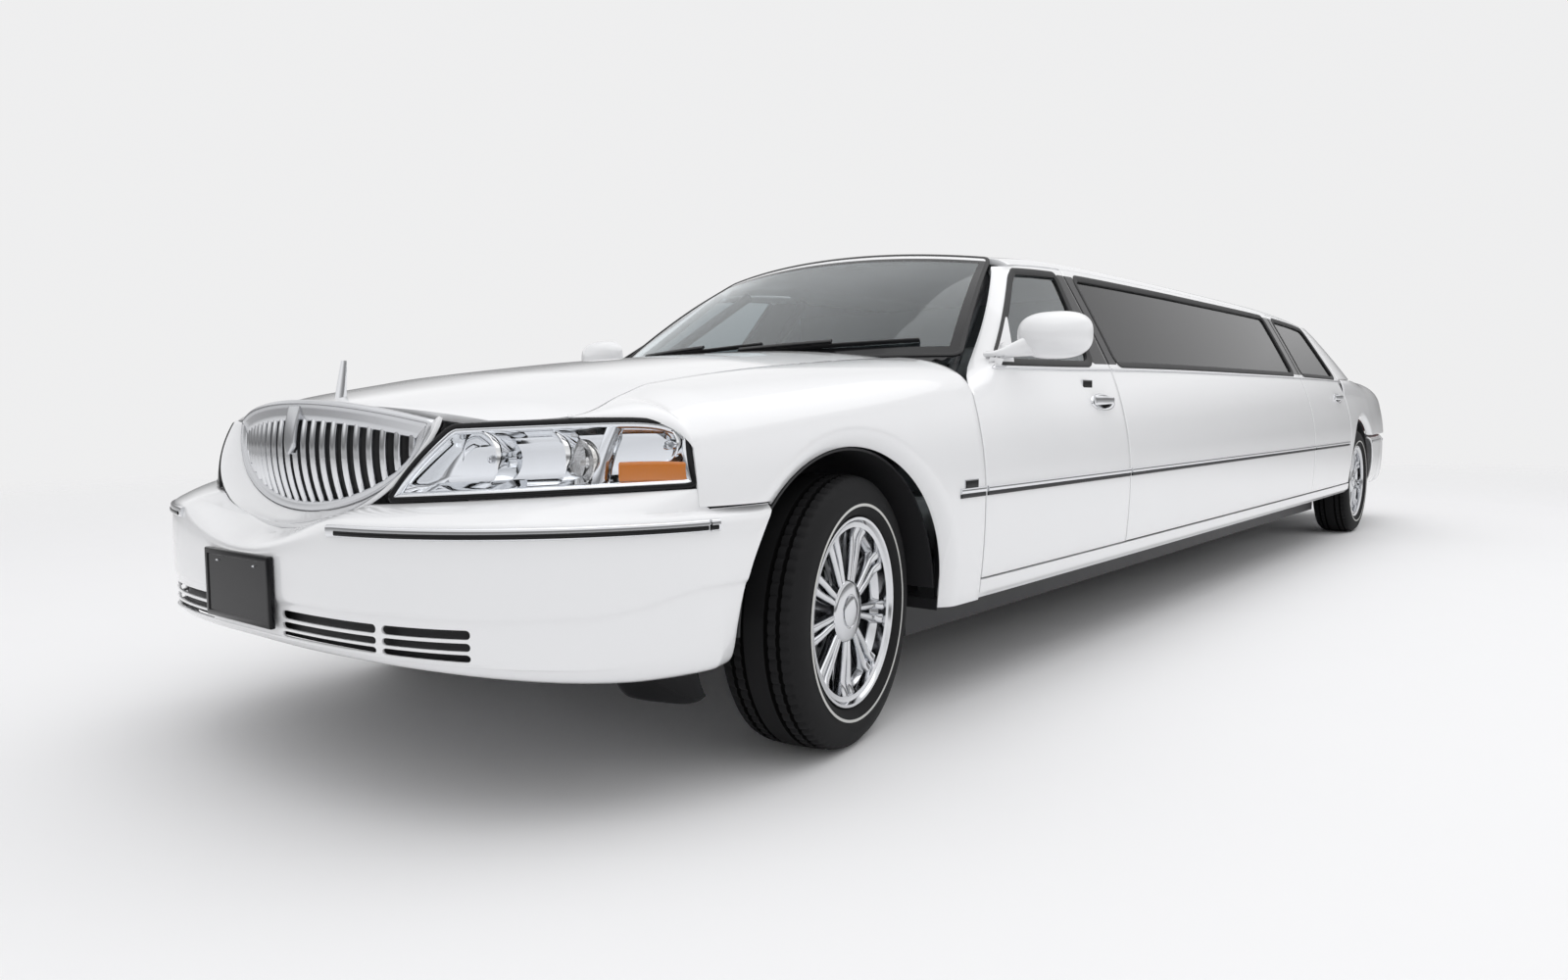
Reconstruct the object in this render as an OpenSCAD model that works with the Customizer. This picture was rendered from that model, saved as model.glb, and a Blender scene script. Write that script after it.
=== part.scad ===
// Six-door-length limousine: a full-size sedan body stretched between its front and rear doors.
// Forward is -Y, the car's left is +X, up is +Z, and the ground is z = 0.

/* [Overall] */
// distance between the front and the rear axle
wheelbase = 6038; // [3500:1:7500]
// bumper face ahead of the front axle
front_overhang = 1090; // [900:1:1300]
// bumper face behind the rear axle
rear_overhang = 1391; // [1100:1:1600]
// height of the roof above the ground
roof_z = 1499; // [1400:1:1600]
// half width at the side trim
waist_x = 995; // [900:1:1050]
// height of the widest line of the side
waist_z = 615; // [560:1:680]

/* [Wheels] */
// distance between the wheel centre planes of an axle
track = 1666; // [1500:1:1720]
// outside radius of the tyre
tyre_r = 351; // [320:1:370]
// width of the tyre
tyre_w = 225; // [190:1:245]
// radius of the bead seat
bead_r = 216; // [190:1:230]
// radius of the rim flange
flange_r = 236; // [220:1:250]
// width between the rim flanges
rim_w = 178; // [150:1:200]
// number of spokes
spoke_n = 9; // [5:1:12]
// radius of the spindle that a wheel turns on
spindle_r = 24; // [18:0.5:30]
// distance of the steering axis from the car's middle
kingpin_x = 745; // [700:1:780]
// radius of a ball joint's pin
ball_r = 14; // [10:0.5:18]
// angle that the front wheels stand turned to the left
rest_steer = 10; // [-20:1:20]

/* [Panels] */
// height of the lower edge of the rocker panels
sill_z = 305; // [260:1:340]
// height of the lower edge of the doors
door_z = 370; // [340:1:420]
// thickness of a door below the glass
door_t = 70; // [50:1:90]
// thickness of a door frame beside the glass
frame_t = 34; // [26:1:44]
// thickness of a fixed wall
wall_t = 20; // [14:1:24]
// thickness of a fender or a quarter
fender_t = 8; // [5:0.5:9]
// thickness of a bumper
bumper_t = 24; // [12:1:40]
// thickness of the plate holder
plate_t = 14; // [8:1:24]
// distance between the plate's two screw holes
plate_span = 178; // [150:1:240]
// radius of a plate screw hole
plate_hole_r = 3.3; // [2.5:0.1:4]
// thickness of the hood and of the trunk lid
lid_t = 24; // [16:1:32]
// thickness of the roof
roof_t = 26; // [18:1:36]
// thickness of the glass
glass_t = 5; // [4:0.5:8]
// depth of the glass behind the outer face
glass_in = 9; // [6:0.5:16]
// radius of a door hinge pin
hinge_r = 7; // [5:0.5:8]
// outside radius of a door hinge's barrel
barrel_r = 12; // [10:0.5:13]

/* [Clearances] */
// open line around a moving panel
shut = 7; // [5:0.5:9]
// open line between fixed pieces
fit = 0.6; // [0.3:0.1:0.9]
// room between a tyre and its wheel arch
arch_gap = 71; // [60:1:90]
// room between the rear axle's housing and the floor above it
axle_gap = 22; // [15:1:60]
// radial play of a pin in its bore
play = 0.4; // [0.3:0.1:0.8]

/* [Hidden] */
$fn = 64;
length = front_overhang + wheelbase + rear_overhang;
fax = -length / 2 + front_overhang;
rax = fax + wheelbase;
wheel_x = track / 2;
arch_r = tyre_r + arch_gap;
axle_house_r = 132;
rear_floor_z = tyre_r + axle_house_r + axle_gap;
up_r = 940;
down_r = 2200;
tumble = 0.565;
fdoor_y0 = fax + 610;
fdoor_y1 = fax + 1715;
rdoor_y0 = rax - 1478;
rdoor_y1 = rax - 478;
fhinge_y = fdoor_y0 - 60;
rhinge_y = rdoor_y0 - 60;
hinge_x = waist_x - 42;
hood_y = fax + 510;
hood_pin_z = 985;
trunk_y = rax + 530;
trunk_pin_z = 1018;
plate_hole_z = 528;
tunnel_x = 160;
tunnel_z = 500;
reach = front_overhang - plate_t - fit;
white = [0.95, 0.95, 0.96];
dark = [0.07, 0.07, 0.08];
bright = [0.75, 0.76, 0.78];
tint = [0.2, 0.22, 0.24, 0.6];
tan_hide = [0.35, 0.33, 0.31];

// rows of the front of the body: y, half width at the waist, height of the shoulder,
// half width at the hood's edge, height there, height at the middle
front_rows = [
    [fax - 866, 760, 800, 500, 846, 895],
    [fax - 715, 850, 800, 712, 853, 922],
    [fax - 516, 918, 800, 668, 902, 955],
    [fax - 400, 944, 815, 648, 932, 972],
    [fax, 974, 860, 640, 980, 1018],
    [fax + 400, 984, 905, 665, 1012, 1052],
    [fax + 610, 988, 920, 690, 1024, 1066],
    [fax + 820, 990, 930, 705, 1036, 1078]];

// rows of the rear of the body: y, half width at the waist, height of the shoulder,
// half width at the deck's edge, height there, height at the middle of the deck
rear_rows = [
    [rax - 478, 989, 935, 905, 1035, 1060],
    [rax - 200, 983, 935, 893, 1038, 1060],
    [rax, 976, 930, 872, 1040, 1060],
    [rax + 200, 967, 925, 832, 1043, 1062],
    [rax + 400, 957, 915, 780, 1046, 1066],
    [rax + 800, 930, 890, 762, 1034, 1056],
    [rax + 1150, 893, 855, 742, 1008, 1030],
    [rax + 1330, 858, 830, 720, 985, 1005]];

// half width at the waist along the whole body: y, half width
waist_rows = [
    [fax - 640, 885], [fax - 516, 918], [fax - 400, 944], [fax, 974], [fax + 400, 984], [fax + 820, 990],
    [fax + 1900, waist_x], [rax - 1500, waist_x], [rax - 478, 989], [rax, 976],
    [rax + 400, 957], [rax + 800, 930], [rax + 1150, 893], [rax + 1330, 858]];

// lines along the cabin: y, height of the belt, height of the top of the glass,
// height of the roof's edge, height of the roof's middle
cabin_rows = [
    [fax + 800, 1002, 1300, 1340, 1380],
    [fax + 1320, 1008, 1352, 1403, 1447],
    [fax + 1720, 1016, 1374, 1436, 1482],
    [fax + 2500, 1026, 1386, 1450, roof_z - 2],
    [fax + 3400, 1032, 1390, 1453, roof_z],
    [rax - 1500, 1037, 1390, 1450, roof_z - 3],
    [rax - 900, 1037, 1376, 1433, roof_z - 16],
    [rax - 560, 1036, 1350, 1409, roof_z - 36],
    [rax - 250, 1036, 1322, 1376, roof_z - 62]];

// height of the windshield's levels: height, half width of its edge, y of its edge, y of its middle
shield_rows = [
    [1034, 790, fax + 800, fax + 600],
    [1160, 738, fax + 950, fax + 800],
    [1290, 676, fax + 1130, fax + 1020],
    [1405, 612, fax + 1318, fax + 1250]];

// height of the rear window's levels: height, half width of its edge, y of its edge, y of its middle
back_rows = [
    [1052, 752, rax + 385, rax + 470],
    [1170, 712, rax + 175, rax + 265],
    [1290, 662, rax - 50, rax + 40],
    [1398, 600, rax - 268, rax - 185]];

function lerp(a, b, t) = a + (b - a) * t;
function seg(tab, y, i = 0) = (i >= len(tab) - 2 || y < tab[i + 1][0]) ? i : seg(tab, y, i + 1);
function slope(tab, i, c) =
    let (a = max(i - 1, 0), b = min(i + 1, len(tab) - 1))
    (tab[b][c] - tab[a][c]) / (tab[b][0] - tab[a][0]);
// value of column c at y, by a smooth curve through the rows
function at(tab, y, c) =
    let (i = seg(tab, y), h = tab[i + 1][0] - tab[i][0], t = (y - tab[i][0]) / h,
        t2 = t * t, t3 = t2 * t)
    (2 * t3 - 3 * t2 + 1) * tab[i][c] + (t3 - 2 * t2 + t) * h * slope(tab, i, c)
    + (3 * t2 - 2 * t3) * tab[i + 1][c] + (t3 - t2) * h * slope(tab, i + 1, c);
function bez(a, b, c, t) = a * (1 - t) * (1 - t) + b * 2 * t * (1 - t) + c * t * t;
function unit(v) = v / max(norm(v), 1e-9);

// smooth step from 0 at a to 1 at b
function ease(a, b, v) = let (t = min(max((v - a) / (b - a), 0), 1)) t * t * (3 - 2 * t);
// half width of the side at a height
function bulge(z) = z > waist_z ? pow(z - waist_z, 2) / (2 * up_r) : pow(waist_z - z, 2) / (2 * down_r);
function side_x(y, z) = at(waist_rows, y, 1) - bulge(z);
function belt_z(y) = at(cabin_rows, y, 1);
function top_z(y) = at(cabin_rows, y, 2);
// half width of the side glass at a height above the belt
function glass_x(y, z) = side_x(y, belt_z(y)) - (z - belt_z(y)) * tumble
    - pow(max(z - belt_z(y), 0), 2) * 0.00008;
// half width and height of the cabin's side: v 0 to 1 below the belt, 1 to 2 glass, 2 to 3 roof rail
function cabin_xz(y, v) =
    v <= 1 ? let (z = lerp(door_z, belt_z(y), v)) [side_x(y, z), z]
    : v <= 2 ? let (z = lerp(belt_z(y), top_z(y), v - 1)) [glass_x(y, z), z]
    : let (z = top_z(y), zg = at(cabin_rows, y, 3), a = [glass_x(y, z), z], c = [606, zg],
        b = [glass_x(y, z) - 42, lerp(z, zg, 0.86)]) bez(a, b, c, v - 2);
// inward roll of a panel's edge around a wheel arch about the axle at ya
function tuck(y, z, ya) = 30 * pow(max(0, 1 - (norm([y - ya, z - tyre_r]) - arch_r) / 55), 2);
// shoulder of the front or rear of the body, v 0 to 1 side, 1 to 2 roll over to the lid's edge
function clip_xz(tab, y, z0, v) =
    let (zs = max(at(tab, y, 2), z0 + 20), xs = at(tab, y, 1) - bulge(zs),
        xg = at(tab, y, 3), zg = at(tab, y, 4))
    v <= 1 ? let (z = lerp(z0, zs, v)) [at(tab, y, 1) - bulge(z), z]
    : bez([xs, zs], [lerp(xs, xg, 0.16), lerp(zs, zg, 0.84)], [xg, zg], v - 1);

// outward direction at a point of a grid
function grid_n(g, i, j) =
    let (n = len(g) - 1, m = len(g[0]) - 1,
        a = g[min(i + 1, n)][j] - g[max(i - 1, 0)][j],
        b = g[i][min(j + 1, m)] - g[i][max(j - 1, 0)])
    unit(cross(a, b));
// grid moved inward by a depth of each row
function inset(g, t) = [for (i = [0:len(g) - 1]) [for (j = [0:len(g[0]) - 1])
    g[i][j] - grid_n(g, i, j) * (is_list(t) ? t[j] : t)]];
// true where a cell is kept, outside every window of cells [i0, i1, j0, j1]
function kept(i, j, n, m, holes, ring) = (ring || (i >= 0 && i < n)) && j >= 0 && j < m
    && len([for (h = holes) if (i >= h[0] && i < h[1] && j >= h[2] && j < h[3]) 1]) == 0;

// closed panel between an outer and an inner grid, with windows of cells left open;
// a ring joins its last column to its first
module panel(outer, inner, holes = [], ring = false) {
    c = len(outer);
    n = ring ? c : c - 1;
    m = len(outer[0]) - 1;
    k = c * (m + 1);
    pts = concat([for (r = outer) each r], [for (r = inner) each r]);
    function id(i, j) = (i % c) * (m + 1) + j;
    function wall(a, b) = [[a, b, b + k], [a, b + k, a + k]];
    faces = [for (i = [0:n - 1]) for (j = [0:m - 1]) if (kept(i, j, n, m, holes, ring))
        each concat(
            [[id(i, j), id(i + 1, j + 1), id(i + 1, j)], [id(i, j), id(i, j + 1), id(i + 1, j + 1)],
             [k + id(i, j), k + id(i + 1, j), k + id(i + 1, j + 1)],
             [k + id(i, j), k + id(i + 1, j + 1), k + id(i, j + 1)]],
            kept(i - 1, j, n, m, holes, ring) ? [] : wall(id(i, j + 1), id(i, j)),
            kept(i + 1, j, n, m, holes, ring) ? [] : wall(id(i + 1, j), id(i + 1, j + 1)),
            kept(i, j - 1, n, m, holes, ring) ? [] : wall(id(i, j), id(i + 1, j)),
            kept(i, j + 1, n, m, holes, ring) ? [] : wall(id(i + 1, j + 1), id(i, j + 1)))];
    polyhedron(points = pts, faces = faces, convexity = 6);
}
module skin(g, t, holes = []) {
    panel(g, inset(g, t), holes);
}
module both() {
    children();
    mirror([1, 0, 0])
    children();
}
module box(a, b) {
    translate(a)
    cube(b - a);
}
module rod(a, b, r) {
    d = b - a;
    translate(a)
    rotate([0, acos(d[2] / norm(d)), atan2(d[1], d[0])])
    cylinder(h = norm(d), r = r);
}

// ladder frame
module frame() {
    color(dark)
    both() {
        box([395, fax - 760, 330], [465, fax + 560, 430]);
        box([395, fax + 500, 200], [780, fax + 570, 430]);
        box([700, fax + 500, 190], [780, rax - 560, 285]);
        box([480, rax - 620, 215], [780, rax - 555, rear_floor_z - 5]);
        box([480, rax - 620, rear_floor_z - 85], [550, rax + 1180, rear_floor_z - 5]);
    }
    color(dark) {
        box([-395.5, fax - 700, 330], [395.5, fax - 640, 400]);
        box([-395.5, fax - 40, 215], [395.5, fax + 40, 300]);
        for (k = [0:5])
            box([-700.5, lerp(fax + 700, rax - 800, k / 5), 215], [700.5, lerp(fax + 760, rax - 740, k / 5), 245]);
        box([-480.5, rax + 900, rear_floor_z - 85], [480.5, rax + 960, rear_floor_z - 25]);
    }
}

module floor_pan() {
    color(dark)
    difference() {
        union() {
            box([-905, fax + 470, 286], [905, rax - 625, 318]);
            box([-760, fax + 470, 286], [760, fax + 492, 950]);
            box([-600, rax - 650, 286], [600, rax - 625, rear_floor_z + 25]);
            box([-600, rax - 650, rear_floor_z], [600, rax + 1230, rear_floor_z + 25]);
            box([-tunnel_x, fax + 470, 286], [tunnel_x, rax - 625, tunnel_z]);
        }
        box([20 - tunnel_x, fax + 400, 280], [tunnel_x - 20, rax - 600, tunnel_z - 20]);
        both() {
            box([395 - fit, fax + 400, 280], [465 + fit, fax + 560 + fit, 430 + fit]);
            box([395 - fit, fax + 500 - fit, 280], [780 + fit, fax + 570 + fit, 430 + fit]);
        }
    }
    // pins of the hood's hinges on the firewall
    color(dark)
    both() {
        for (x = [546, 605])
            box([x, fax + 480, 930], [x + 9, hood_y + 10, hood_pin_z + 2]);
        translate([540, hood_y, hood_pin_z])
        rotate([0, 90, 0])
        cylinder(h = 80, r = hinge_r);
    }
}

module wheel_liners() {
    // y of the axle, inner and outer half width
    liner_rows = [[fax, 560, 925], [rax, 605, 925]];
    color(dark)
    both()
    for (r = liner_rows)
        translate([r[1], r[0], tyre_r])
        rotate([0, 90, 0])
        difference() {
            cylinder(h = r[2] - r[1], r = arch_r - 3);
            translate([0, 0, -1])
            cylinder(h = r[2] - r[1] + 2, r = arch_r - 9);
            translate([-10, -500, -1])
            cube([600, 1000, 500]);
        }
}

module front_arms() {
    color(dark)
    both() {
        // lower arm
        difference() {
            union() {
                box([400, fax - 26, 176], [kingpin_x, fax + 26, 198]);
                box([400, fax - 26, 176], [440, fax + 26, 329.7]);
                translate([kingpin_x, fax, 176])
                cylinder(h = 22, r = 30);
            }
            translate([kingpin_x, fax, 170])
            cylinder(h = 40, r = ball_r + play);
        }
        // upper arm
        difference() {
            union() {
                box([430, fax - 24, 512], [kingpin_x, fax + 24, 530]);
                box([430, fax - 24, 430.3], [462, fax + 24, 530]);
                translate([kingpin_x, fax, 512])
                cylinder(h = 18, r = 28);
            }
            translate([kingpin_x, fax, 500])
            cylinder(h = 40, r = ball_r + play);
        }
    }
}

module knuckle() {
    color(dark) {
        translate([kingpin_x, fax, 176])
        cylinder(h = 354, r = ball_r);
        translate([kingpin_x, fax, 204])
        cylinder(h = 302, r = 26);
        translate([kingpin_x, fax, tyre_r])
        rotate([0, 90, 0])
        cylinder(h = wheel_x + 38 - kingpin_x, r = spindle_r);
        translate([kingpin_x, fax, tyre_r])
        rotate([0, 90, 0])
        cylinder(h = 40, r = 60);
    }
}
// turns a left front piece, or its mirror image, about the steering axis
module steered(left) {
    x = left ? kingpin_x : -kingpin_x;
    translate([x, fax, 0])
    rotate([0, 0, rest_steer])
    translate([-x, -fax, 0])
    mirror([left ? 0 : 1, 0, 0])
    children();
}
module knuckle_left() {
    steered(true)
    knuckle();
}
module knuckle_right() {
    steered(false)
    knuckle();
}

module rear_axle() {
    color(dark) {
        translate([-700, rax, tyre_r])
        rotate([0, 90, 0])
        cylinder(h = 1400, r = 42);
        translate([0, rax - 150 + fit, tyre_r])
        rotate([-90, 0, 0])
        cylinder(h = 270, r = axle_house_r);
        both() {
            translate([690, rax, tyre_r])
            rotate([0, 90, 0])
            cylinder(h = 90, r = 60);
            translate([690, rax, tyre_r])
            rotate([0, 90, 0])
            cylinder(h = wheel_x + 38 - 690, r = spindle_r);
            box([485, rax - 40, tyre_r], [545, rax + 40, rear_floor_z - 85 - 0.3]);
        }
    }
}

// rows of the door hinges: lower and upper end of the barrel
hinge_rows = [[450, 500], [680, 730]];
// pins and brackets of a door's hinges on a post behind them
module hinge_post(y) {
    box([880, y - 52, 318 + fit], [920, y - 14, 900]);
    for (r = hinge_rows) {
        box([900, y - 40, r[0] - 9], [hinge_x + 9, y + 8, r[0] - 1]);
        box([900, y - 40, r[1] + 1], [hinge_x + 9, y + 8, r[1] + 9]);
        translate([hinge_x, y, r[0] - 11])
        cylinder(h = r[1] - r[0] + 22, r = hinge_r);
    }
}
// barrels and bent straps of a door, from its hinge line inward, round the edge ahead and out to the door
module hinge_straps(y) {
    for (r = hinge_rows)
        translate([hinge_x, y, r[0]])
        difference() {
            union() {
                cylinder(h = r[1] - r[0], r = barrel_r);
                box([-84, -7, 5], [0, 7, r[1] - r[0] - 5]);
                box([-84, -7, 5], [-70, 140, r[1] - r[0] - 5]);
                box([-84, 126, 5], [-15, 140, r[1] - r[0] - 5]);
            }
            translate([0, 0, -1])
            cylinder(h = r[1] - r[0] + 2, r = hinge_r + play);
        }
}
module pillars() {
    color(dark)
    both() {
        hinge_post(fhinge_y);
        hinge_post(rhinge_y);
        box([840, fdoor_y1 + 20, 318 + fit], [880, fdoor_y1 + 60, 1000]);
        rod([860, fdoor_y1 + 40, 990], [628, fdoor_y1 + 120, 1372], 17);
        rod([892, rhinge_y - 12, 875], [628, rdoor_y0 + 60, 1378], 17);
        rod([892, fhinge_y - 12, 875], [722, fax + 880, 1010], 16);
        rod([730, fax + 855, 996], [570, fax + 1370, 1350], 19);
    }
}

module engine() {
    color([0.3, 0.3, 0.32])
    box([-300, fax - 260, 300.5], [300, fax + 400, 880]);
}

module driveline() {
    color([0.3, 0.3, 0.32]) {
        translate([0, fax + 400 + fit, 360])
        rotate([-90, 0, 0])
        cylinder(h = 700, r1 = 112, r2 = 78);
        rod([0, fax + 1090, 360], [0, rax - 150, tyre_r], 40);
    }
}

module exhaust() {
    color([0.45, 0.45, 0.46])
    both() {
        translate([560, fax + 900, 186])
        rotate([-90, 0, 0])
        cylinder(h = rax + 1330 - fax - 900, r = 24);
        box([450, rax - 1500, 152], [670, rax - 880, 209]);
    }
}

module fuel_tank() {
    color(dark)
    box([-360, rax + 330, rear_floor_z - 220], [360, rax + 800, rear_floor_z - 0.5]);
}

// rim about its own middle, the outer face towards +X
module rim() {
    color(bright)
    rotate([0, 90, 0]) {
        // section of the rim: radius, distance from the middle plane
        rotate_extrude()
        polygon([[bead_r - 13, -rim_w / 2], [flange_r, -rim_w / 2 - 9], [flange_r, -rim_w / 2 - 2],
            [bead_r, -rim_w / 2 + 0.5], [bead_r, rim_w / 2 - 0.5], [flange_r, rim_w / 2 + 2],
            [flange_r, rim_w / 2 + 9], [bead_r + 8, rim_w / 2 + 6], [bead_r - 13, rim_w / 2 - 4]]);
        difference() {
            union() {
                translate([0, 0, 8])
                cylinder(h = 66, r = 62);
                for (k = [0:spoke_n - 1])
                    rotate([0, 0, 360 / spoke_n * k])
                    translate([0, 0, 36])
                    linear_extrude(height = 35)
                    polygon([[57, -18], [208, -33], [208, -5], [90, -4], [90, 4], [208, 5], [208, 33], [57, 18]]);
                translate([0, 0, 70])
                cylinder(h = 12, r1 = 58, r2 = 50);
            }
            translate([0, 0, -30])
            cylinder(h = 70, r = spindle_r + play);
        }
    }
}
module rim_front_left() {
    steered(true)
    translate([wheel_x, fax, tyre_r])
    rim();
}
module rim_front_right() {
    steered(false)
    translate([wheel_x, fax, tyre_r])
    rim();
}
module rim_rear_left() {
    translate([wheel_x, rax, tyre_r])
    rim();
}
module rim_rear_right() {
    mirror([1, 0, 0])
    rim_rear_left();
}

module tyre() {
    w = tyre_w / 2;
    b = bead_r + 0.4;
    color(dark)
    rotate([0, 90, 0])
    rotate_extrude($fn = 96)
    polygon([[b, -rim_w / 2 + 2], [flange_r + 4, -rim_w / 2 - 1], [flange_r + 14, -w + 14], [278, -w], [305, -w + 2],
        [330, -w + 10], [343, -w + 22], [tyre_r - 2, -w + 44], [tyre_r, -w + 75], [tyre_r, w - 75],
        [tyre_r - 2, w - 44], [343, w - 22], [330, w - 10], [305, w - 2], [278, w], [flange_r + 14, w - 14],
        [flange_r + 4, rim_w / 2 + 1], [b, rim_w / 2 - 2]]);
}
module tyre_front_left() {
    steered(true)
    translate([wheel_x, fax, tyre_r])
    tyre();
}
module tyre_front_right() {
    steered(false)
    translate([wheel_x, fax, tyre_r])
    tyre();
}
module tyre_rear_left() {
    translate([wheel_x, rax, tyre_r])
    tyre();
}
module tyre_rear_right() {
    mirror([1, 0, 0])
    tyre_rear_left();
}

// section of the front bumper: height, setback from the plan curve
bumper_rows = [[298, 64], [308, 32], [332, 14], [398, 5], [418, 4], [426, 4], [446, 3], [454, 2],
    [474, 1], [530, 0], [575, 0], [612, 4], [640, 14], [652, 42]];
// columns of the front bumper, in steps of 7.5 degrees from the middle
bumper_ks = [0, 0.1, 0.25, 0.46, 0.93, 1.03, 2, 2.89, 3.02, 4, 5, 6.03, 7, 8, 9, 10, 11, 12, 13];
// first and last column of each intake slot
slot_cols = [[3, 4], [5, 7], [8, 11]];
// plan of the front bumper at angle a from the middle
function fb_plan(a) = [946 * pow(sin(a), 0.62), fax - 490 - (reach - 490) * pow(cos(a), 1.4)];
function arch_y(z) = sqrt(pow(arch_r, 2) - pow(max(z, tyre_r) - tyre_r, 2));
function fb_point(k, r) =
    let (p = fb_plan(min(k, 12) * 7.5), f = min(k / 12, 1), e = fax - arch_y(r[0]) - 12 - r[1] * 0.4,
        d = pow(max(0, 1 - pow(p[0] / 380, 2)), 2), z = r[0] - 50 * d * ease(545, 612, r[0]),
        b = r[1] + 70 * d * ease(612, 652, r[0]))
    k <= 12 ? [p[0] - b * f * 0.7, p[1] + b * (1 - f * 0.9), z]
    : [952 - bulge(r[0]) - r[1] * 0.7, e, r[0]];
module front_bumper() {
    n = len(bumper_ks);
    ks = concat([for (i = [n - 1:-1:0]) bumper_ks[i]], [for (i = [1:n - 1]) -bumper_ks[i]]);
    g = [for (r = bumper_rows) [for (k = ks) let (p = fb_point(abs(k), r)) [k < 0 ? -p[0] : p[0], p[1], p[2]]]];
    // intake slots on both sides of the plate: three rows, three columns a side
    holes = [for (j = [3, 5, 7]) for (c = slot_cols) each [[j, j + 1, n - 1 - c[1], n - 1 - c[0]], [j, j + 1, n - 1 + c[0], n - 1 + c[1]]]];
    color(white)
    skin(g, bumper_t, holes);
}

module plate_holder() {
    color(dark)
    difference() {
        box([-156, fax - front_overhang, 393], [156, fax - reach - fit, 554]);
        for (x = [-plate_span / 2, plate_span / 2])
            translate([x, fax - reach + 10, plate_hole_z])
            rotate([90, 0, 0])
            cylinder(h = 60, r = plate_hole_r);
    }
}

// y of the nose at a half width and a height
function nose_y(x, z) = fax - 980 + 455 * pow(min(x, 930) / 905, 3) + 0.0018 * pow(max(z - 677, 0), 2);
// a headlamp's face: u from the inner to the outer end, v from the lower to the upper edge
function lamp_point(u, v) =
    let (z = lerp(lerp(676, 704, u), lerp(838, 846, u) - 60 * pow(u, 8), v),
        x = lerp(lerp(392, 505, v), lerp(906, 884, v), u))
    [x, nose_y(x, z), z];
function lamp_grid(e) = [for (i = [0:14]) [for (j = [0:4])
    lamp_point(lerp(e, 1 - e, i / 14), lerp(e * 3, 1 - e * 3, j / 4))]];
module headlamp_housings() {
    g = inset([for (i = [0:14]) [for (j = [0:4]) lamp_point(lerp(0.02, 0.98, i / 14), lerp(0.03, 0.8, j / 4))]], 8);
    color(bright)
    both()
    panel(g, [for (c = g) [for (p = c) p + [0, 50, 0]]]);
}
module headlamp_lenses() {
    color([0.9, 0.92, 0.95, 0.4])
    both()
    skin(lamp_grid(0.004), 5.5);
}

// lower edge of the front fender at y
function fender_z0(y) = y < fax - 300 ? 660 : y > fax + arch_r - 1 ? sill_z : tyre_r + sqrt(max(pow(arch_r, 2)
    - pow(y - fax, 2), 0));
// half width of the nose's upper edge at y
function nose_x(y) = 905 * pow(max(y - fax + 980 - 51, 1) / 455, 1 / 3);
// columns of the front fender along y: over the headlamp, ahead of the arch, arch, behind it
fender_ys = concat([for (y = [-702, -640, -580, -528]) fax + y], [for (y = [-506, -450, -380, -320]) fax + y],
    [for (a = [-44:11:88]) fax + arch_r * sin(a)], [for (y = [424, 470, 540, 603]) fax + y]);
function fender_xz(y, j) =
    let (xg = at(front_rows, y, 3), zg = at(front_rows, y, 4), xl = nose_x(y) + 2)
    y < fax - 516 ? bez([xl, 853], [lerp(xl, xg, 0.2), lerp(853, zg, 0.8)], [xg, zg], j / 13)
    : clip_xz(front_rows, y, fender_z0(y), j < 7 ? j / 7 : 1 + (j - 7) / 6);
module front_fenders() {
    g = [for (y = fender_ys) [for (j = [0:13]) let (p = fender_xz(y, j)) [p[0] - tuck(y, p[1], fax), y, p[1]]]];
    color(white)
    both()
    skin(g, fender_t);
}

// hood: columns across, shares along from its front edge, which follows the grille
hood_ts = [0, 0.04, 0.1, 0.17, 0.26, 0.35, 0.46, 0.57, 0.7, 0.83, 0.93, 1];
function hood_at(k, t) = lerp(fax - 912 + 106 * pow(sin(k * 9), 2), fax + 530, t);
function hood_x(y) = min(at(front_rows, y, 3), nose_x(y)) - shut;
function hood_z(x, y) = let (zg = at(front_rows, y, 4), zc = at(front_rows, y, 5))
    zc - (zc - zg) * pow(min(abs(x) / hood_x(y), 1), 2.4);
module hood() {
    g = [for (k = [-10:10]) [for (t = hood_ts) let (y = hood_at(k, t), x = hood_x(y) * sin(k * 9)) [x, y, hood_z(x, y)]]];
    color(white) {
        skin(g, lid_t);
        both()
        difference() {
            union() {
                translate([560, hood_y, hood_pin_z])
                rotate([0, 90, 0])
                cylinder(h = 40, r = barrel_r);
                box([560, hood_y - 30, hood_pin_z], [600, hood_y + barrel_r - 0.5, hood_pin_z + 24]);
            }
            translate([550, hood_y, hood_pin_z])
            rotate([0, 90, 0])
            cylinder(h = 60, r = hinge_r + play);
        }
    }
}

// outline of the grille grown by e: half ellipse below, shallow arch above; t from 0 to 1 around
grille_w = 437;
grille_h = 209;
grille_mid = 846;
function grille_xz(t, e) =
    t <= 0.6 ? let (a = 180 * t / 0.6) [(grille_w + e) * cos(a), grille_mid - (grille_h + e) * sin(a)]
    : let (u = (t - 0.6) / 0.4, x = -cos(180 * u)) [x * (grille_w + e), grille_mid + e + 48 * (1 - x * x)];
// height of the front bumper's upper edge at a half width
function shelf_z(x) = 652 - 50 * pow(max(0, 1 - pow(x / 380, 2)), 2);
// half width of the headlamp's inner edge at a height
function lamp_in(z) = lerp(392, 505, (z - 676) / 162);
// y of the grille, which sweeps back to its sides
function grille_y(x, z) = fax - 958 + 91 * pow(x / grille_w, 2) + 0.0015 * pow(z - 775, 2);
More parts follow.
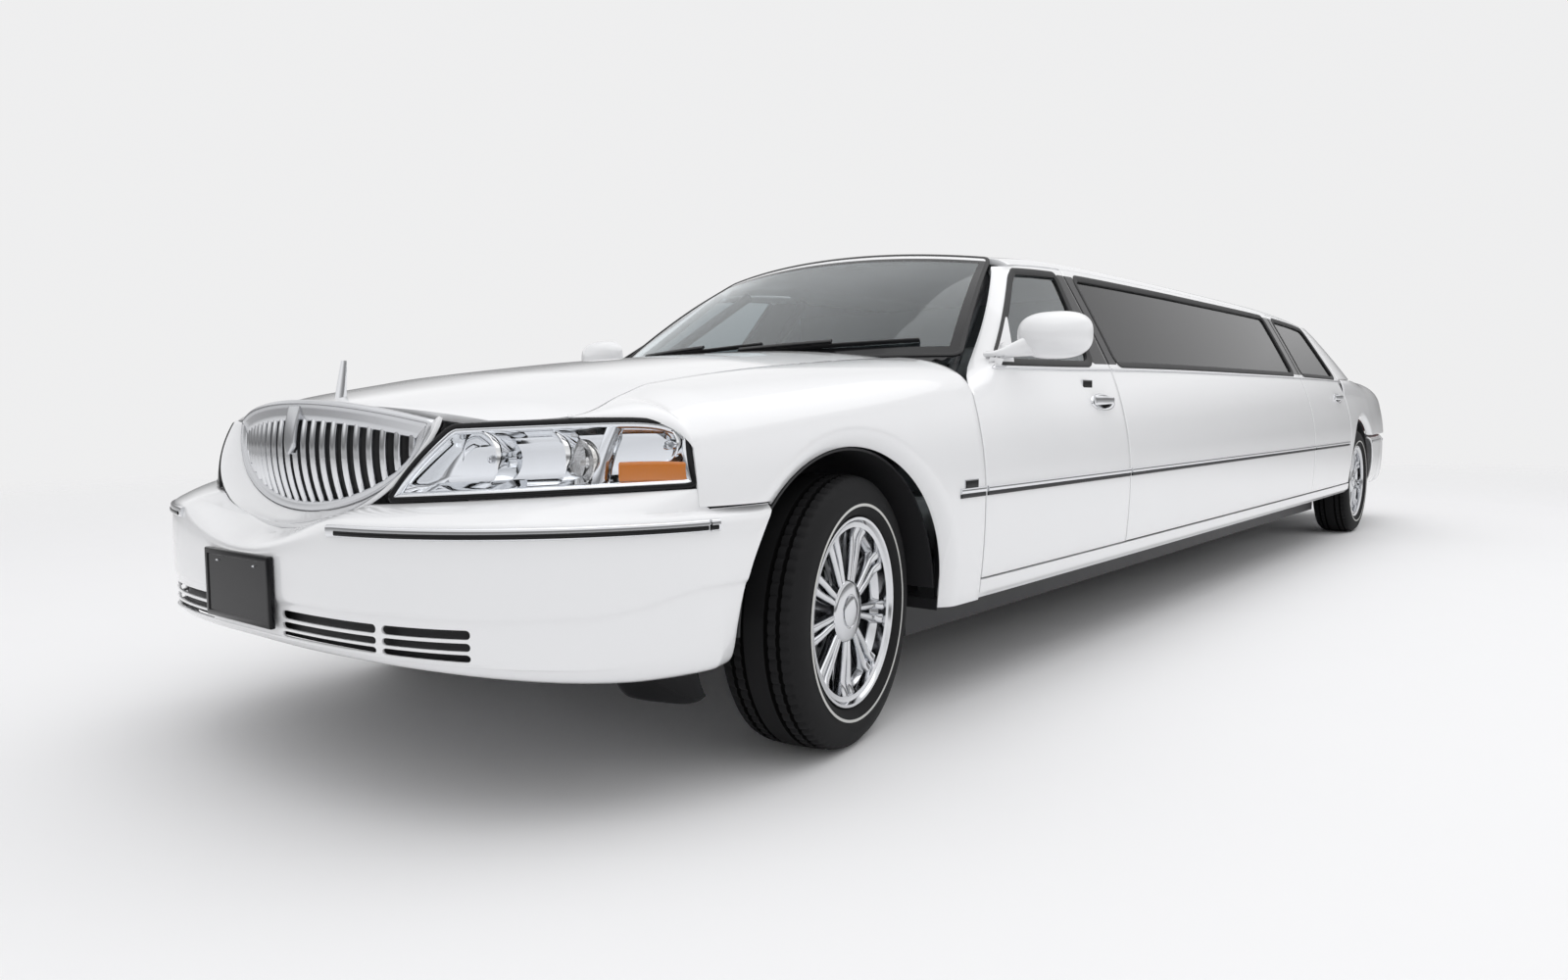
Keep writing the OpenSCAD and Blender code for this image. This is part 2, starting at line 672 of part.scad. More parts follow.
// band around the grille between two outlines, kept clear of the headlamps; its outer edge meets the nose by a share
function grille_band(n, t1, e0, e1, dy, share) = [for (i = [0:n]) let (t = i * t1 / n) [for (e = [e0, (e0 + e1) / 2, e1])
    let (p = grille_xz(t, e), z = max(p[1], shelf_z(p[0]) + shut),
        x = min(abs(p[0]), lamp_in(max(z, 676)) - lerp(shut + 2, shut, (e - e0) / (e1 - e0))))
    [sign(p[0]) * x, lerp(grille_y(x, z), nose_y(x, z), share * (e - e0) / (e1 - e0)) + dy, z]]];
module nose_panel() {
    g = grille_band(30, 0.6, 5, 34, 0, 1);
    color(white)
    panel(g, [for (c = g) [for (p = c) p + [0, 13, 0]]]);
}
module grille_ring() {
    g = grille_band(49, 0.98, -22, 3, 4, 0);
    color(bright)
    panel(g, [for (c = g) [for (p = c) p + [0, p[2] > 830 ? 14 : 20, 0]]], [], true);
}
module grille_bars() {
    color(bright) {
        for (k = [-10:10]) {
            x = k * 38;
            z0 = grille_mid - (grille_h - 28) * sqrt(max(1 - pow((abs(x) + 9) / (grille_w - 24), 2), 0));
            z1 = grille_mid - 34 + 48 * (1 - pow(x / grille_w, 2));
            translate([x - 8, 0, 0])
            rotate([90, 0, 90])
            linear_extrude(height = 16)
            polygon(concat([for (i = [0:4]) let (z = lerp(z0, z1, i / 4)) [grille_y(x, z) + 14, z]],
                [[fax - 800, z1], [fax - 800, z0]]));
        }
        translate([0, fax - 796, 0])
        rotate([90, 0, 0])
        linear_extrude(height = 10)
        polygon([for (i = [0:49]) grille_xz(i * 0.02, -27)]);
    }
}

module cowl() {
    color(dark)
    box([-672, fax + 575, 990.5], [672, fax + 640, 1010]);
}

function shield_point(u, z) =
    let (xe = at(shield_rows, z, 1), ye = at(shield_rows, z, 2), yc = at(shield_rows, z, 3))
    [xe * u, yc + (ye - yc) * pow(abs(u), 2.2), z + 44 * (1 - u * u) * (z - 1034) / 371];
module windshield() {
    g = [for (i = [-8:8]) [for (j = [0:8]) shield_point(i / 8, lerp(1036, 1404, j / 8))]];
    color(tint)
    skin(g, glass_t);
}
function back_point(u, z) =
    let (xe = at(back_rows, z, 1), ye = at(back_rows, z, 2), yc = at(back_rows, z, 3))
    [xe * u, yc + (ye - yc) * pow(abs(u), 2.2), z + 38 * (1 - u * u) * (z - 1052) / 346];
module rear_window() {
    g = [for (i = [8:-1:-8]) [for (j = [0:8]) back_point(i / 8, lerp(1054, 1396, j / 8))]];
    color(tint)
    skin(g, glass_t);
}

// inner grid of a door with its rear edge set forward, and its front edge set back in the first rows
door_draft = 10;
front_draft = 0.86;
function drafted(g, t, rows) = [for (i = [0:len(g) - 1]) [for (j = [0:len(t) - 1])
    g[i][j] + [0, i == 0 && j < rows ? front_draft * t[j] : i == len(g) - 1 ? -door_draft : 0, 0]]];
// rows of a door or wall upward: section value, thickness
door_rows = [[0, 1], [0.12, 1], [0.26, 1], [0.42, 1], [0.58, 1], [0.74, 1], [0.88, 1], [1, 0.7],
    [1.03, 0], [1.26, 0], [1.5, 0], [1.75, 0], [2, 0], [2.12, 0], [2.22, 0]];
// front edge of the front door's rows above the belt follows the windshield's edge
function fdoor_edge(v) = v <= 0.86 ? fdoor_y0
    : v <= 1 ? lerp(fdoor_y0, fax + 806, pow((v - 0.86) / 0.14, 1.5))
    : v <= 2 ? lerp(fax + 806, fax + 1250, v - 1) : lerp(fax + 1250, fax + 1335, v - 2);
function fdoor_x(y, v, u) =
    let (p = cabin_xz(y, v), e = at(shield_rows, p[1], 1) + 12, f = max(0, 1 - u * 5))
    v <= 0.86 ? p[0] : lerp(p[0], min(e, p[0]), pow(f, 1.5) * min(1, (v - 0.86) / 0.14));
function fdoor_y(v, u) =
    let (a = fdoor_edge(v), b = v <= 1 ? fdoor_y1 - shut : lerp(fdoor_y1, fdoor_y1 + 100, (v - 1) / 2) - shut,
        g = max(v - 1, 0), w0 = lerp(fax + 792, fax + 1302, g), w1 = lerp(fax + 1560, fax + 1690, g), t = u * 8)
    t <= 2 ? lerp(a, w0, t / 2) : t >= 7 ? lerp(w1, b, t - 7) : lerp(w0, w1, (t - 2) / 5);
function fdoor_point(v, u) = let (y = fdoor_y(v, u), p = cabin_xz(y, v)) [fdoor_x(y, v, u), y, p[1]];
module front_door() {
    g = [for (i = [0:8]) [for (r = door_rows) fdoor_point(r[0], i / 8)]];
    t = [for (r = door_rows) lerp(frame_t, door_t, r[1])];
    color(white) {
        panel(g, drafted(inset(g, t), t, 7), [[2, 7, 8, 12]]);
        hinge_straps(fhinge_y);
    }
}
module front_door_left() {
    front_door();
}
module front_door_right() {
    mirror([1, 0, 0])
    front_door();
}
module front_glass() {
    g = [for (i = [0:5]) [for (v = [1.032, 1.26, 1.5, 1.75, 1.982])
        let (y = lerp(fdoor_y(v, 0.25) + 8 * fit, fdoor_y(v, 0.875) - fit, i / 5), p = cabin_xz(y, v)) [p[0], y, p[1]]]];
    h = inset(g, glass_in);
    color(tint)
    panel(h, inset(h, glass_t));
}
module front_glass_left() {
    front_glass();
}
module front_glass_right() {
    mirror([1, 0, 0])
    front_glass();
}
// closed body through rings of points
module loft(rings) {
    n = len(rings);
    m = len(rings[0]);
    pts = [for (r = rings) each r];
    faces = concat(
        [for (i = [0:n - 2]) for (j = [0:m - 1]) let (a = i * m + j, b = i * m + (j + 1) % m)
            each [[a, b + m, a + m], [a, b, b + m]]],
        [for (j = [1:m - 2]) [0, j + 1, j]],
        [for (j = [1:m - 2]) [(n - 1) * m, (n - 1) * m + j, (n - 1) * m + j + 1]]);
    polyhedron(points = pts, faces = faces, convexity = 4);
}
// rounded box outline: half sizes a and b, n sharper for more
function squircle(a, b, n, t) = [a * sign(cos(t)) * pow(abs(cos(t)), 2 / n), b * sign(sin(t)) * pow(abs(sin(t)), 2 / n)];
// mirror shell: rows of distance behind the nose of the shell, share of the full section
mirror_rows = [[0, 0.3], [6, 0.55], [18, 0.76], [40, 0.92], [66, 0.99], [92, 1]];
module mirror_shell() {
    color(white) {
        loft([for (r = mirror_rows) [for (t = [0:15:345]) let (p = squircle(116, 73, 2.7, t))
            [1036 + p[0] * r[1] + (1 - r[1]) * 20, fax + 862 + r[0] + (p[0] + 116) * 0.09, 1092 + p[1] * r[1]]]]);
        // sail plate in the front corner of the window
        skin([for (i = [0:3]) [for (v = [1.034, 1.16, 1.28, 1.38])
            let (a = fdoor_y(v, 0.25) + fit, y = lerp(a, max(a + 12, fax + 945 + 130 * (v - 1.034)), i / 3), q = cabin_xz(y, v))
            [q[0], y, q[1]]]], 5);
        box([881, fax + 874, 1042], [950, fax + 930, 1066]);
    }
}
module mirror_left() {
    mirror_shell();
}
module mirror_right() {
    mirror([1, 0, 0])
    mirror_shell();
}

// long panel between the doors
function long_y(v, u) =
    let (a = v <= 1 ? fdoor_y1 : lerp(fdoor_y1, fdoor_y1 + 100, (v - 1) / 2),
        b = (v <= 1 ? rdoor_y0 : lerp(rdoor_y0, rdoor_y0 + 160, (v - 1) / 2)) - shut,
        t = u * 10)
    t <= 1 ? lerp(a, a + 80, t) : t >= 9 ? lerp(b - 110, b, t - 9) : lerp(a + 80, b - 110, (t - 1) / 8);
function long_point(v, u) = let (y = long_y(v, u), p = cabin_xz(y, v)) [p[0], y, p[1]];
module long_panels() {
    g = [for (i = [0:10]) [for (r = door_rows) long_point(r[0] > 2.2 ? 2.3 : r[0], i / 10)]];
    color(white)
    both()
    skin(g, wall_t, [[1, 9, 8, 12]]);
}
module long_windows() {
    g = [for (i = [0:8]) [for (v = [1.032, 1.26, 1.5, 1.75, 1.998])
        let (y = lerp(long_y(v, 0.1) + fit, long_y(v, 0.9) - fit, i / 8), p = cabin_xz(y, v)) [p[0], y, p[1]]]];
    h = inset(g, glass_in);
    color(tint)
    both()
    panel(h, inset(h, glass_t));
}

module rockers() {
    g = [for (i = [0:12]) let (y = lerp(fax + 609, rax - arch_r - 30, i / 12)) [for (z = [sill_z, sill_z + 22, door_z - shut])
        [side_x(y, z) - (z < sill_z + 5 ? 14 : 0), y, z]]];
    color(white)
    both()
    skin(g, wall_t);
}

// rear door
function rdoor_end(v) = (v <= 1 ? rdoor_y1 : lerp(rdoor_y1, rdoor_y1 - 120, (v - 1) / 1.25)) - shut;
function rdoor_y(v, u) =
    let (a = v <= 1 ? rdoor_y0 : lerp(rdoor_y0, rdoor_y0 + 160, (v - 1) / 2), b = rdoor_end(v), t = u * 8,
        w0 = a + 70, w1 = b - 75)
    t <= 1 ? lerp(a, w0, t) : t >= 7 ? lerp(w1, b, t - 7) : lerp(w0, w1, (t - 1) / 6);
function rdoor_point(v, u) = let (y = rdoor_y(v, u), p = cabin_xz(y, v)) [p[0], y, p[1]];
module rear_door() {
    g = [for (i = [0:8]) [for (r = door_rows) rdoor_point(r[0], i / 8)]];
    t = [for (r = door_rows) lerp(frame_t, door_t, r[1])];
    color(white) {
        panel(g, drafted(inset(g, t), t, 8), [[1, 7, 8, 12]]);
        hinge_straps(rhinge_y);
    }
}
module rear_door_left() {
    rear_door();
}
module rear_door_right() {
    mirror([1, 0, 0])
    rear_door();
}
module rear_glass() {
    g = [for (i = [0:6]) [for (v = [1.032, 1.26, 1.5, 1.75, 1.998])
        let (y = lerp(rdoor_y(v, 0.125) + fit, rdoor_y(v, 0.875) - fit, i / 6), p = cabin_xz(y, v)) [p[0], y, p[1]]]];
    h = inset(g, glass_in);
    color(tint)
    panel(h, inset(h, glass_t));
}
module rear_glass_left() {
    rear_glass();
}
module rear_glass_right() {
    mirror([1, 0, 0])
    rear_glass();
}

// lower edge of the rear quarter at y
function quarter_z0(y) = y < rax - arch_r + 1 ? door_z : y > rax + arch_r - 1 ? 660
    : max(tyre_r + sqrt(max(pow(arch_r, 2) - pow(y - rax, 2), 0)), y > rax ? 660 : 0);
quarter_ys = concat([for (y = [-478, -440]) rax + y], [for (a = [-84:12:48]) rax + arch_r * sin(a)],
    [for (y = [400, 520, 680, 840, 1000, 1120, 1228]) rax + y]);
module rear_quarters() {
    g = [for (y = quarter_ys) [for (j = [0:13])
        let (p = clip_xz(rear_rows, y, quarter_z0(y), j < 7 ? j / 7 : 1 + (j - 7) / 6))
        [p[0] - tuck(y, p[1], rax), y, p[1]]]];
    color(white)
    both()
    skin(g, fender_t);
}

// panel between the rear door and the rear window: u from the door, w from the belt up
function sail_point(u, w) =
    let (v = 1 + w * 1.31, y0 = rdoor_end(v) + shut, p = cabin_xz(y0, v), z = lerp(1060, 1392, w),
        a = [p[0], y0, p[1]], c = [at(back_rows, z, 1) + 9, at(back_rows, z, 2) - 5, z],
        b = [lerp(a[0], c[0], 0.08), lerp(a[1], c[1], 0.7), lerp(a[2], c[2], 0.55)])
    bez(a, b, c, u);
module sail_panels() {
    g = [for (i = [0:8]) [for (j = [0:7]) sail_point(i / 8, j / 7)]];
    color(white)
    both()
    skin(g, wall_t);
}

// shelf between the rear window and the trunk lid, with the pins of the lid's hinges below it
module rear_shelf() {
    g = [for (k = [-8:8]) [for (w = [0, 0.5, 1])
        let (u = k / 8, b = back_point(u, 1052), y = lerp(b[1] + 6, rax + 489, w), xg = at(rear_rows, y, 3) - shut)
        [xg * u, y, at(rear_rows, y, 5) - (at(rear_rows, y, 5) - at(rear_rows, y, 4)) * pow(abs(u), 2.4)]]];
    color(white) {
        skin(g, 8);
        box([-480, rax + 452, 950], [480, rax + 460, 1040]);
        box([-700, rax + 452, 945], [700, rax + 545, 957]);
        both() {
            for (x = [546, 605])
                box([x, trunk_y - 6, 950], [x + 9, trunk_y + 10, trunk_pin_z]);
            translate([540, trunk_y, trunk_pin_z])
            rotate([0, 90, 0])
            cylinder(h = 80, r = hinge_r);
        }
    }
}

// roof: columns across from rail to rail, rows along
roof_ss = [0, 0.04, 0.09, 0.16, 0.26, 0.38, 0.5, 0.62, 0.74, 0.84, 0.91, 0.96, 1];
function roof_point(k, s) =
    let (a = abs(k), x = 606 * min(a / 9, 1), f = pow(x / 606, 2),
        y = lerp(fax + 1262 + 72 * f, rax - 200 - 90 * f, s), zc = at(cabin_rows, y, 4), ze = at(cabin_rows, y, 3),
        low = lerp(2.36, 3, max(0, min(1, (y - rax + 640) / 350))), q = cabin_xz(y, lerp(3, low, (a - 9) / 4)),
        p = a <= 9 ? [x, zc - (zc - ze) * pow(x / 606, 2.4)] : q)
    [k < 0 ? -p[0] : p[0], y, p[1]];
module roof() {
    g = [for (k = [-13:13]) [for (s = roof_ss) roof_point(k, s)]];
    color(white)
    skin(g, roof_t);
}

// trunk lid: rows along the deck and down the tail: distance behind the axle, drop below the deck's edge
lid_rows = [[510, 0], [620, 0], [760, 0], [900, 0], [1050, 0], [1180, 0], [1270, 0], [1322, 0],
    [1345, 22], [1354, 70], [1358, 150], [1362, 230], [1366, 306]];
function lid_point(k, r) =
    let (y = rax + min(r[0], 1322), xg = lerp(at(rear_rows, y, 3) - shut, 600, min(r[1] / 60, 1)), x = xg * k / 8,
        zg = at(rear_rows, y, 4), zc = at(rear_rows, y, 5))
    [x, rax + r[0] - (r[1] > 0 ? 24 : 0) * pow(abs(k / 8), 2), zc - (zc - zg) * pow(abs(k / 8), 2.4) - r[1]];
module trunk_lid() {
    g = [for (k = [-8:8]) [for (r = lid_rows) lid_point(k, r)]];
    color(white) {
        skin(g, lid_t);
        both()
        difference() {
            union() {
                translate([560, trunk_y, trunk_pin_z])
                rotate([0, 90, 0])
                cylinder(h = 40, r = barrel_r);
                box([560, trunk_y - 6, trunk_pin_z], [600, trunk_y + 30, trunk_pin_z + 24]);
            }
            translate([550, trunk_y, trunk_pin_z])
            rotate([0, 90, 0])
            cylinder(h = 60, r = hinge_r + play);
        }
    }
}

// corner of the tail between the quarter and the trunk lid: u around, w up
function tail_point(u, w) =
    let (z = lerp(668, at(rear_rows, rax + 1240, 4) - 76, w), a = [side_x(rax + 1234, z), rax + 1234],
        c = [618, rax + 1346 - 12 * w], b = [a[0] - 40, rax + 1342], p = bez(a, b, c, u))
    [p[0], p[1], z];
module tail_lamps() {
    g = [for (i = [0:10]) [for (j = [0:5]) tail_point(i / 10, j / 5)]];
    color([0.6, 0.05, 0.05])
    both()
    skin(g, 30);
}

// section of the rear bumper: height, setback
rear_bumper_rows = [[290, 90], [312, 48], [360, 20], [430, 6], [520, 0], [600, 2], [632, 14], [650, 40]];
function rb_point(k, r) =
    let (a = min(k, 10) * 9, x0 = side_x(rax + 900, waist_z), f = min(k / 10, 1), e = rax + arch_y(r[0]) + 12,
        px = x0 * pow(sin(a), 0.5), py = rax + 900 + (rear_overhang - 900) * pow(cos(a), 0.9),
        y = lerp(rax + 900, e, (k - 10) / 4))
    k <= 10 ? [px - r[1] * f * 0.7, py - r[1] * (1 - f * 0.9), r[0]]
    : [side_x(y, waist_z) - bulge(r[0]) * 0.6 - r[1] * 0.7, y, r[0]];
module rear_bumper() {
    g = [for (r = rear_bumper_rows) [for (k = [-14:14]) let (p = rb_point(abs(k), r)) [k < 0 ? -p[0] : p[0], p[1], p[2]]]];
    color(white)
    skin(g, bumper_t);
}

module dashboard() {
    color(dark)
    box([-690, fax + 640.6, 700], [690, fax + 860, 985]);
}
module steering_wheel() {
    color(dark)
    translate([370, fax + 1090, 900])
    rotate([65, 0, 0])
    rotate_extrude()
    translate([180, 0])
    circle(r = 15);
}
module front_seats() {
    color(tan_hide)
    both() {
        box([180, fax + 1150, 318 + fit], [660, fax + 1640, 520]);
        box([190, fax + 1560, 510], [650, fax + 1680, 1120]);
    }
}
module partition() {
    color(dark)
    difference() {
        box([-700, fax + 1900, 318 + fit], [700, fax + 1940, 1300]);
        box([-tunnel_x - fit, fax + 1890, 300], [tunnel_x + fit, fax + 1950, tunnel_z + fit]);
    }
}
module benches() {
    color(tan_hide)
    difference() {
        union() {
            box([-650, rax - 1000, 318 + fit], [650, rax - 650 - fit, 580]);
            box([-650, rax - 1000, rear_floor_z + 25 + fit], [650, rax - 400, rear_floor_z + 85]);
            box([-650, rax - 520, 580], [650, rax - 385, 1090]);
        }
        box([-tunnel_x - fit, rax - 1010, 300], [tunnel_x + fit, rax - 600, tunnel_z + fit]);
    }
}

frame();
floor_pan();
wheel_liners();
front_arms();
knuckle_left();
knuckle_right();
rear_axle();
pillars();
engine();
driveline();
exhaust();
fuel_tank();
rim_front_left();
rim_front_right();
rim_rear_left();
rim_rear_right();
tyre_front_left();
tyre_front_right();
tyre_rear_left();
tyre_rear_right();
front_bumper();
plate_holder();
headlamp_housings();
headlamp_lenses();
front_fenders();
hood();
nose_panel();
grille_ring();
grille_bars();
cowl();
windshield();
front_door_left();
front_door_right();
front_glass_left();
front_glass_right();
mirror_left();
mirror_right();
long_panels();
long_windows();
rockers();
rear_door_left();
rear_door_right();
rear_glass_left();
rear_glass_right();
rear_quarters();
sail_panels();
rear_shelf();
roof();
rear_window();
trunk_lid();
tail_lamps();
rear_bumper();
dashboard();
steering_wheel();
front_seats();
partition();
benches();
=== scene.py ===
"""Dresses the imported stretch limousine: painted panels, glass, lamps, wheels, trim, seats, light and camera."""

from __future__ import annotations

import logging
import math
from bisect import bisect_right
from dataclasses import dataclass
from enum import Enum
from typing import Callable, Sequence

import bpy
import numpy as np
from mathutils import Matrix, Vector

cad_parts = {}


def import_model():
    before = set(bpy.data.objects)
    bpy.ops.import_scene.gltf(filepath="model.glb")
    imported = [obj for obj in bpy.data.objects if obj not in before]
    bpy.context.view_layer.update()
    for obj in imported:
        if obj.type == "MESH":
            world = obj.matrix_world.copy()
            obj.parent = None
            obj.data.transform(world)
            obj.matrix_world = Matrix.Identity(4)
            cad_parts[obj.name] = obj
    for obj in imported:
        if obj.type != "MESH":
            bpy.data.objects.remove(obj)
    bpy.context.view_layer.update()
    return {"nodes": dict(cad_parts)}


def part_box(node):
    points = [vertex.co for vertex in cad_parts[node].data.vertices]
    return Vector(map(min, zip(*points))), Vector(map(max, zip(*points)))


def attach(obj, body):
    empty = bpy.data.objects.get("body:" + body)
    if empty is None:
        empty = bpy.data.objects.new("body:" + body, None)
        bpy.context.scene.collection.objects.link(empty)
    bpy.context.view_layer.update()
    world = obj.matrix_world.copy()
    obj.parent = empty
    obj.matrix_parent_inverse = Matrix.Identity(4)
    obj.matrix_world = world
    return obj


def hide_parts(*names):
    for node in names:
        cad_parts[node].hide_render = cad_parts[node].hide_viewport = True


LOG = logging.getLogger("limousine")
MM = 0.001
Piece = bpy.types.Object
Tree = bpy.types.NodeTree
Node = bpy.types.Node
Socket = bpy.types.NodeSocket
Point = tuple[float, float, float]
Surface = Callable[[float, float], Point]
Section = Sequence[tuple[float, float]]


class Side(Enum):
    """Side of the car; the value is the sign of x."""

    LEFT = 1.0
    RIGHT = -1.0


class Slot(Enum):
    """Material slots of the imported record."""

    PAINT = "white_paint"
    CHROME = "chrome"
    REFLECTOR = "reflector"
    LENS = "clear_lens"
    RED = "red_lens"
    CLEAR = "clear_glass"
    TINTED = "tinted_glass"
    PLASTIC = "dark_plastic"
    HIDE = "leather"
    RUBBER = "tyre"


def lerp(a: float, b: float, t: float) -> float:
    """Value at share t between a and b."""
    return a + (b - a) * t


def smooth(a: float, b: float, value: float) -> float:
    """Smooth step of a value from 0 at a to 1 at b."""
    t = min(max((value - a) / (b - a), 0.0), 1.0)
    return t * t * (3 - 2 * t)


def rounded(value: float, power: float) -> float:
    """Power of a value that keeps its sign, for rounded sections."""
    return math.copysign(abs(value) ** power, value)


def on_circle(t: float) -> tuple[float, float]:
    """Cosine and sine of a share t of a full turn."""
    return math.cos(2 * math.pi * t), math.sin(2 * math.pi * t)


def crowned(edge: float, middle: float, share: float) -> float:
    """Height of a crowned lid at a share of its half width, from its edge's and its middle's height."""
    return middle - (middle - edge) * abs(share) ** 2.4


def spun(r: float, across: float, angle: float) -> tuple[float, float]:
    """Point at a radius and a distance across it, turned by an angle about the axis."""
    return r * math.cos(angle) - across * math.sin(angle), r * math.sin(angle) + across * math.cos(angle)


def bezier(a: Sequence[float], b: Sequence[float], c: Sequence[float], t: float) -> tuple[float, ...]:
    """Point of a quadratic curve with the control points a, b, c."""
    return tuple(p * (1 - t) ** 2 + q * 2 * t * (1 - t) + r * t * t for p, q, r in zip(a, b, c))


def spread(*stops: float, step: float = 0.1) -> list[float]:
    """Values through all stops, at most a step apart.

    Args:
        stops: Values that the list has to hold, rising or falling.
        step: Largest distance between two values.

    Returns:
        The filled list.
    """
    out: list[float] = []
    for a, b in zip(stops, stops[1:]):
        n = max(1, math.ceil(abs(b - a) / step - 1e-9))
        out += [lerp(a, b, i / n) for i in range(n)]
    return out + [stops[-1]]


class Curve:
    """Smooth curves through a table whose first column is the station."""

    def __init__(self, rows: Sequence[Sequence[float]]) -> None:
        """Keeps the rows and the slope at each of them."""
        self.rows = [tuple(float(v) for v in r) for r in rows]
        self.stations = [r[0] for r in self.rows]
        last = len(rows) - 1
        self.slopes = []
        for i in range(len(rows)):
            a, b = self.rows[max(i - 1, 0)], self.rows[min(i + 1, last)]
            self.slopes.append(tuple((q - p) / (b[0] - a[0]) for p, q in zip(a, b)))

    def at(self, station: float, column: int) -> float:
        """Value of a column at a station.

        Args:
            station: Place along the first column.
            column: Number of the column.

        Returns:
            The value of the cubic through the rows.
        """
        i = min(max(bisect_right(self.stations, station) - 1, 0), len(self.rows) - 2)
        h = self.stations[i + 1] - self.stations[i]
        t = (station - self.stations[i]) / h
        t2, t3 = t * t, t * t * t
        return (
            (2 * t3 - 3 * t2 + 1) * self.rows[i][column]
            + (t3 - 2 * t2 + t) * h * self.slopes[i][column]
            + (3 * t2 - 2 * t3) * self.rows[i + 1][column]
            + (t3 - t2) * h * self.slopes[i + 1][column]
        )


FRONT_AXLE = -3169.5
REAR_AXLE = 2868.5


@dataclass(frozen=True)
class BodyLines:
    """Lines of the body in millimetres, from the same tables as the solids."""

    waist_z: float = 615.0
    sill_z: float = 305.0
    door_z: float = 370.0
    arch_r: float = 422.0
    hub_z: float = 351.0
    shut: float = 7.0
    up_r: float = 940.0
    down_r: float = 2200.0
    tumble: float = 0.565
    reach: float = 1075.4
    rail_x: float = 606.0
    over_bumper: float = 660.0
    front_door: tuple[float, float] = (FRONT_AXLE + 610, FRONT_AXLE + 1715)
    rear_door: tuple[float, float] = (REAR_AXLE - 1478, REAR_AXLE - 478)

    def bulge(self, z: float) -> float:
        """Distance of the side inside its widest line at a height."""
        d = z - self.waist_z
        return d * d / (2 * (self.up_r if d > 0 else self.down_r))

    def side_x(self, y: float, z: float) -> float:
        """Half width of the body at a station and a height."""
        return WAIST.at(y, 1) - self.bulge(z)

    def glass_x(self, y: float, z: float) -> float:
        """Half width of the side glass at a station and a height."""
        belt = CABIN.at(y, 1)
        d = z - belt
        return self.side_x(y, belt) - d * self.tumble - max(d, 0) ** 2 * 0.00008

    def cabin(self, y: float, v: float) -> tuple[float, float]:
        """Point of the cabin's section.

        Args:
            y: Station along the car.
            v: 0 to 1 below the belt, 1 to 2 over the glass, 2 to 3 over the roof rail.

        Returns:
            Half width and height.
        """
        belt, top, edge = CABIN.at(y, 1), CABIN.at(y, 2), CABIN.at(y, 3)
        if v <= 1:
            z = lerp(self.door_z, belt, v)
            return self.side_x(y, z), z
        if v <= 2:
            z = lerp(belt, top, v - 1)
            return self.glass_x(y, z), z
        g = self.glass_x(y, top)
        x, z = bezier((g, top), (g - 42, lerp(top, edge, 0.86)), (self.rail_x, edge), v - 2)
        return x, z

    def shoulder(self, rows: Curve, y: float, z0: float, v: float) -> tuple[float, float]:
        """Point of the front or rear body's section.

        Args:
            rows: Table of the front or the rear of the body.
            y: Station along the car.
            z0: Height of the lower edge.
            v: 0 to 1 up the side, 1 to 2 over to the lid's edge.

        Returns:
            Half width and height.
        """
        zs = max(rows.at(y, 2), z0 + 20)
        w, xg, zg = rows.at(y, 1), rows.at(y, 3), rows.at(y, 4)
        if v <= 1:
            z = lerp(z0, zs, v)
            return w - self.bulge(z), z
        xs = w - self.bulge(zs)
        x, z = bezier((xs, zs), (lerp(xs, xg, 0.16), lerp(zs, zg, 0.84)), (xg, zg), v - 1)
        return x, z

    def tuck(self, y: float, z: float, axle: float) -> float:
        """Inward roll of a panel around a wheel arch."""
        d = math.hypot(y - axle, z - self.hub_z) - self.arch_r
        return 30 * max(0.0, 1 - max(d, 0) / 55) ** 2

    def arch_z(self, y: float, axle: float) -> float:
        """Height of a wheel arch's edge at a station."""
        return self.hub_z + math.sqrt(max(self.arch_r**2 - (y - axle) ** 2, 0))

    def nose_y(self, x: float, z: float) -> float:
        """Station of the nose at a half width and a height."""
        return FRONT_AXLE - 980 + 455 * (min(abs(x), 930) / 905) ** 3 + 0.0018 * max(z - 677, 0) ** 2


FRONT = Curve([
    (FRONT_AXLE - 866, 760, 800, 500, 846, 895), (FRONT_AXLE - 715, 850, 800, 712, 853, 922),
    (FRONT_AXLE - 516, 918, 800, 668, 902, 955), (FRONT_AXLE - 400, 944, 815, 648, 932, 972),
    (FRONT_AXLE, 974, 860, 640, 980, 1018), (FRONT_AXLE + 400, 984, 905, 665, 1012, 1052),
    (FRONT_AXLE + 610, 988, 920, 690, 1024, 1066), (FRONT_AXLE + 820, 990, 930, 705, 1036, 1078)])
REAR = Curve([
    (REAR_AXLE - 478, 989, 935, 905, 1035, 1060), (REAR_AXLE - 200, 983, 935, 893, 1038, 1060),
    (REAR_AXLE, 976, 930, 872, 1040, 1060), (REAR_AXLE + 200, 967, 925, 832, 1043, 1062),
    (REAR_AXLE + 400, 957, 915, 780, 1046, 1066), (REAR_AXLE + 800, 930, 890, 762, 1034, 1056),
    (REAR_AXLE + 1150, 893, 855, 742, 1008, 1030), (REAR_AXLE + 1330, 858, 830, 720, 985, 1005)])
WAIST = Curve([
    (FRONT_AXLE - 640, 885), (FRONT_AXLE - 516, 918), (FRONT_AXLE - 400, 944), (FRONT_AXLE, 974),
    (FRONT_AXLE + 400, 984), (FRONT_AXLE + 820, 990), (FRONT_AXLE + 1900, 995), (REAR_AXLE - 1500, 995),
    (REAR_AXLE - 478, 989), (REAR_AXLE, 976), (REAR_AXLE + 400, 957), (REAR_AXLE + 800, 930),
    (REAR_AXLE + 1150, 893), (REAR_AXLE + 1330, 858)])
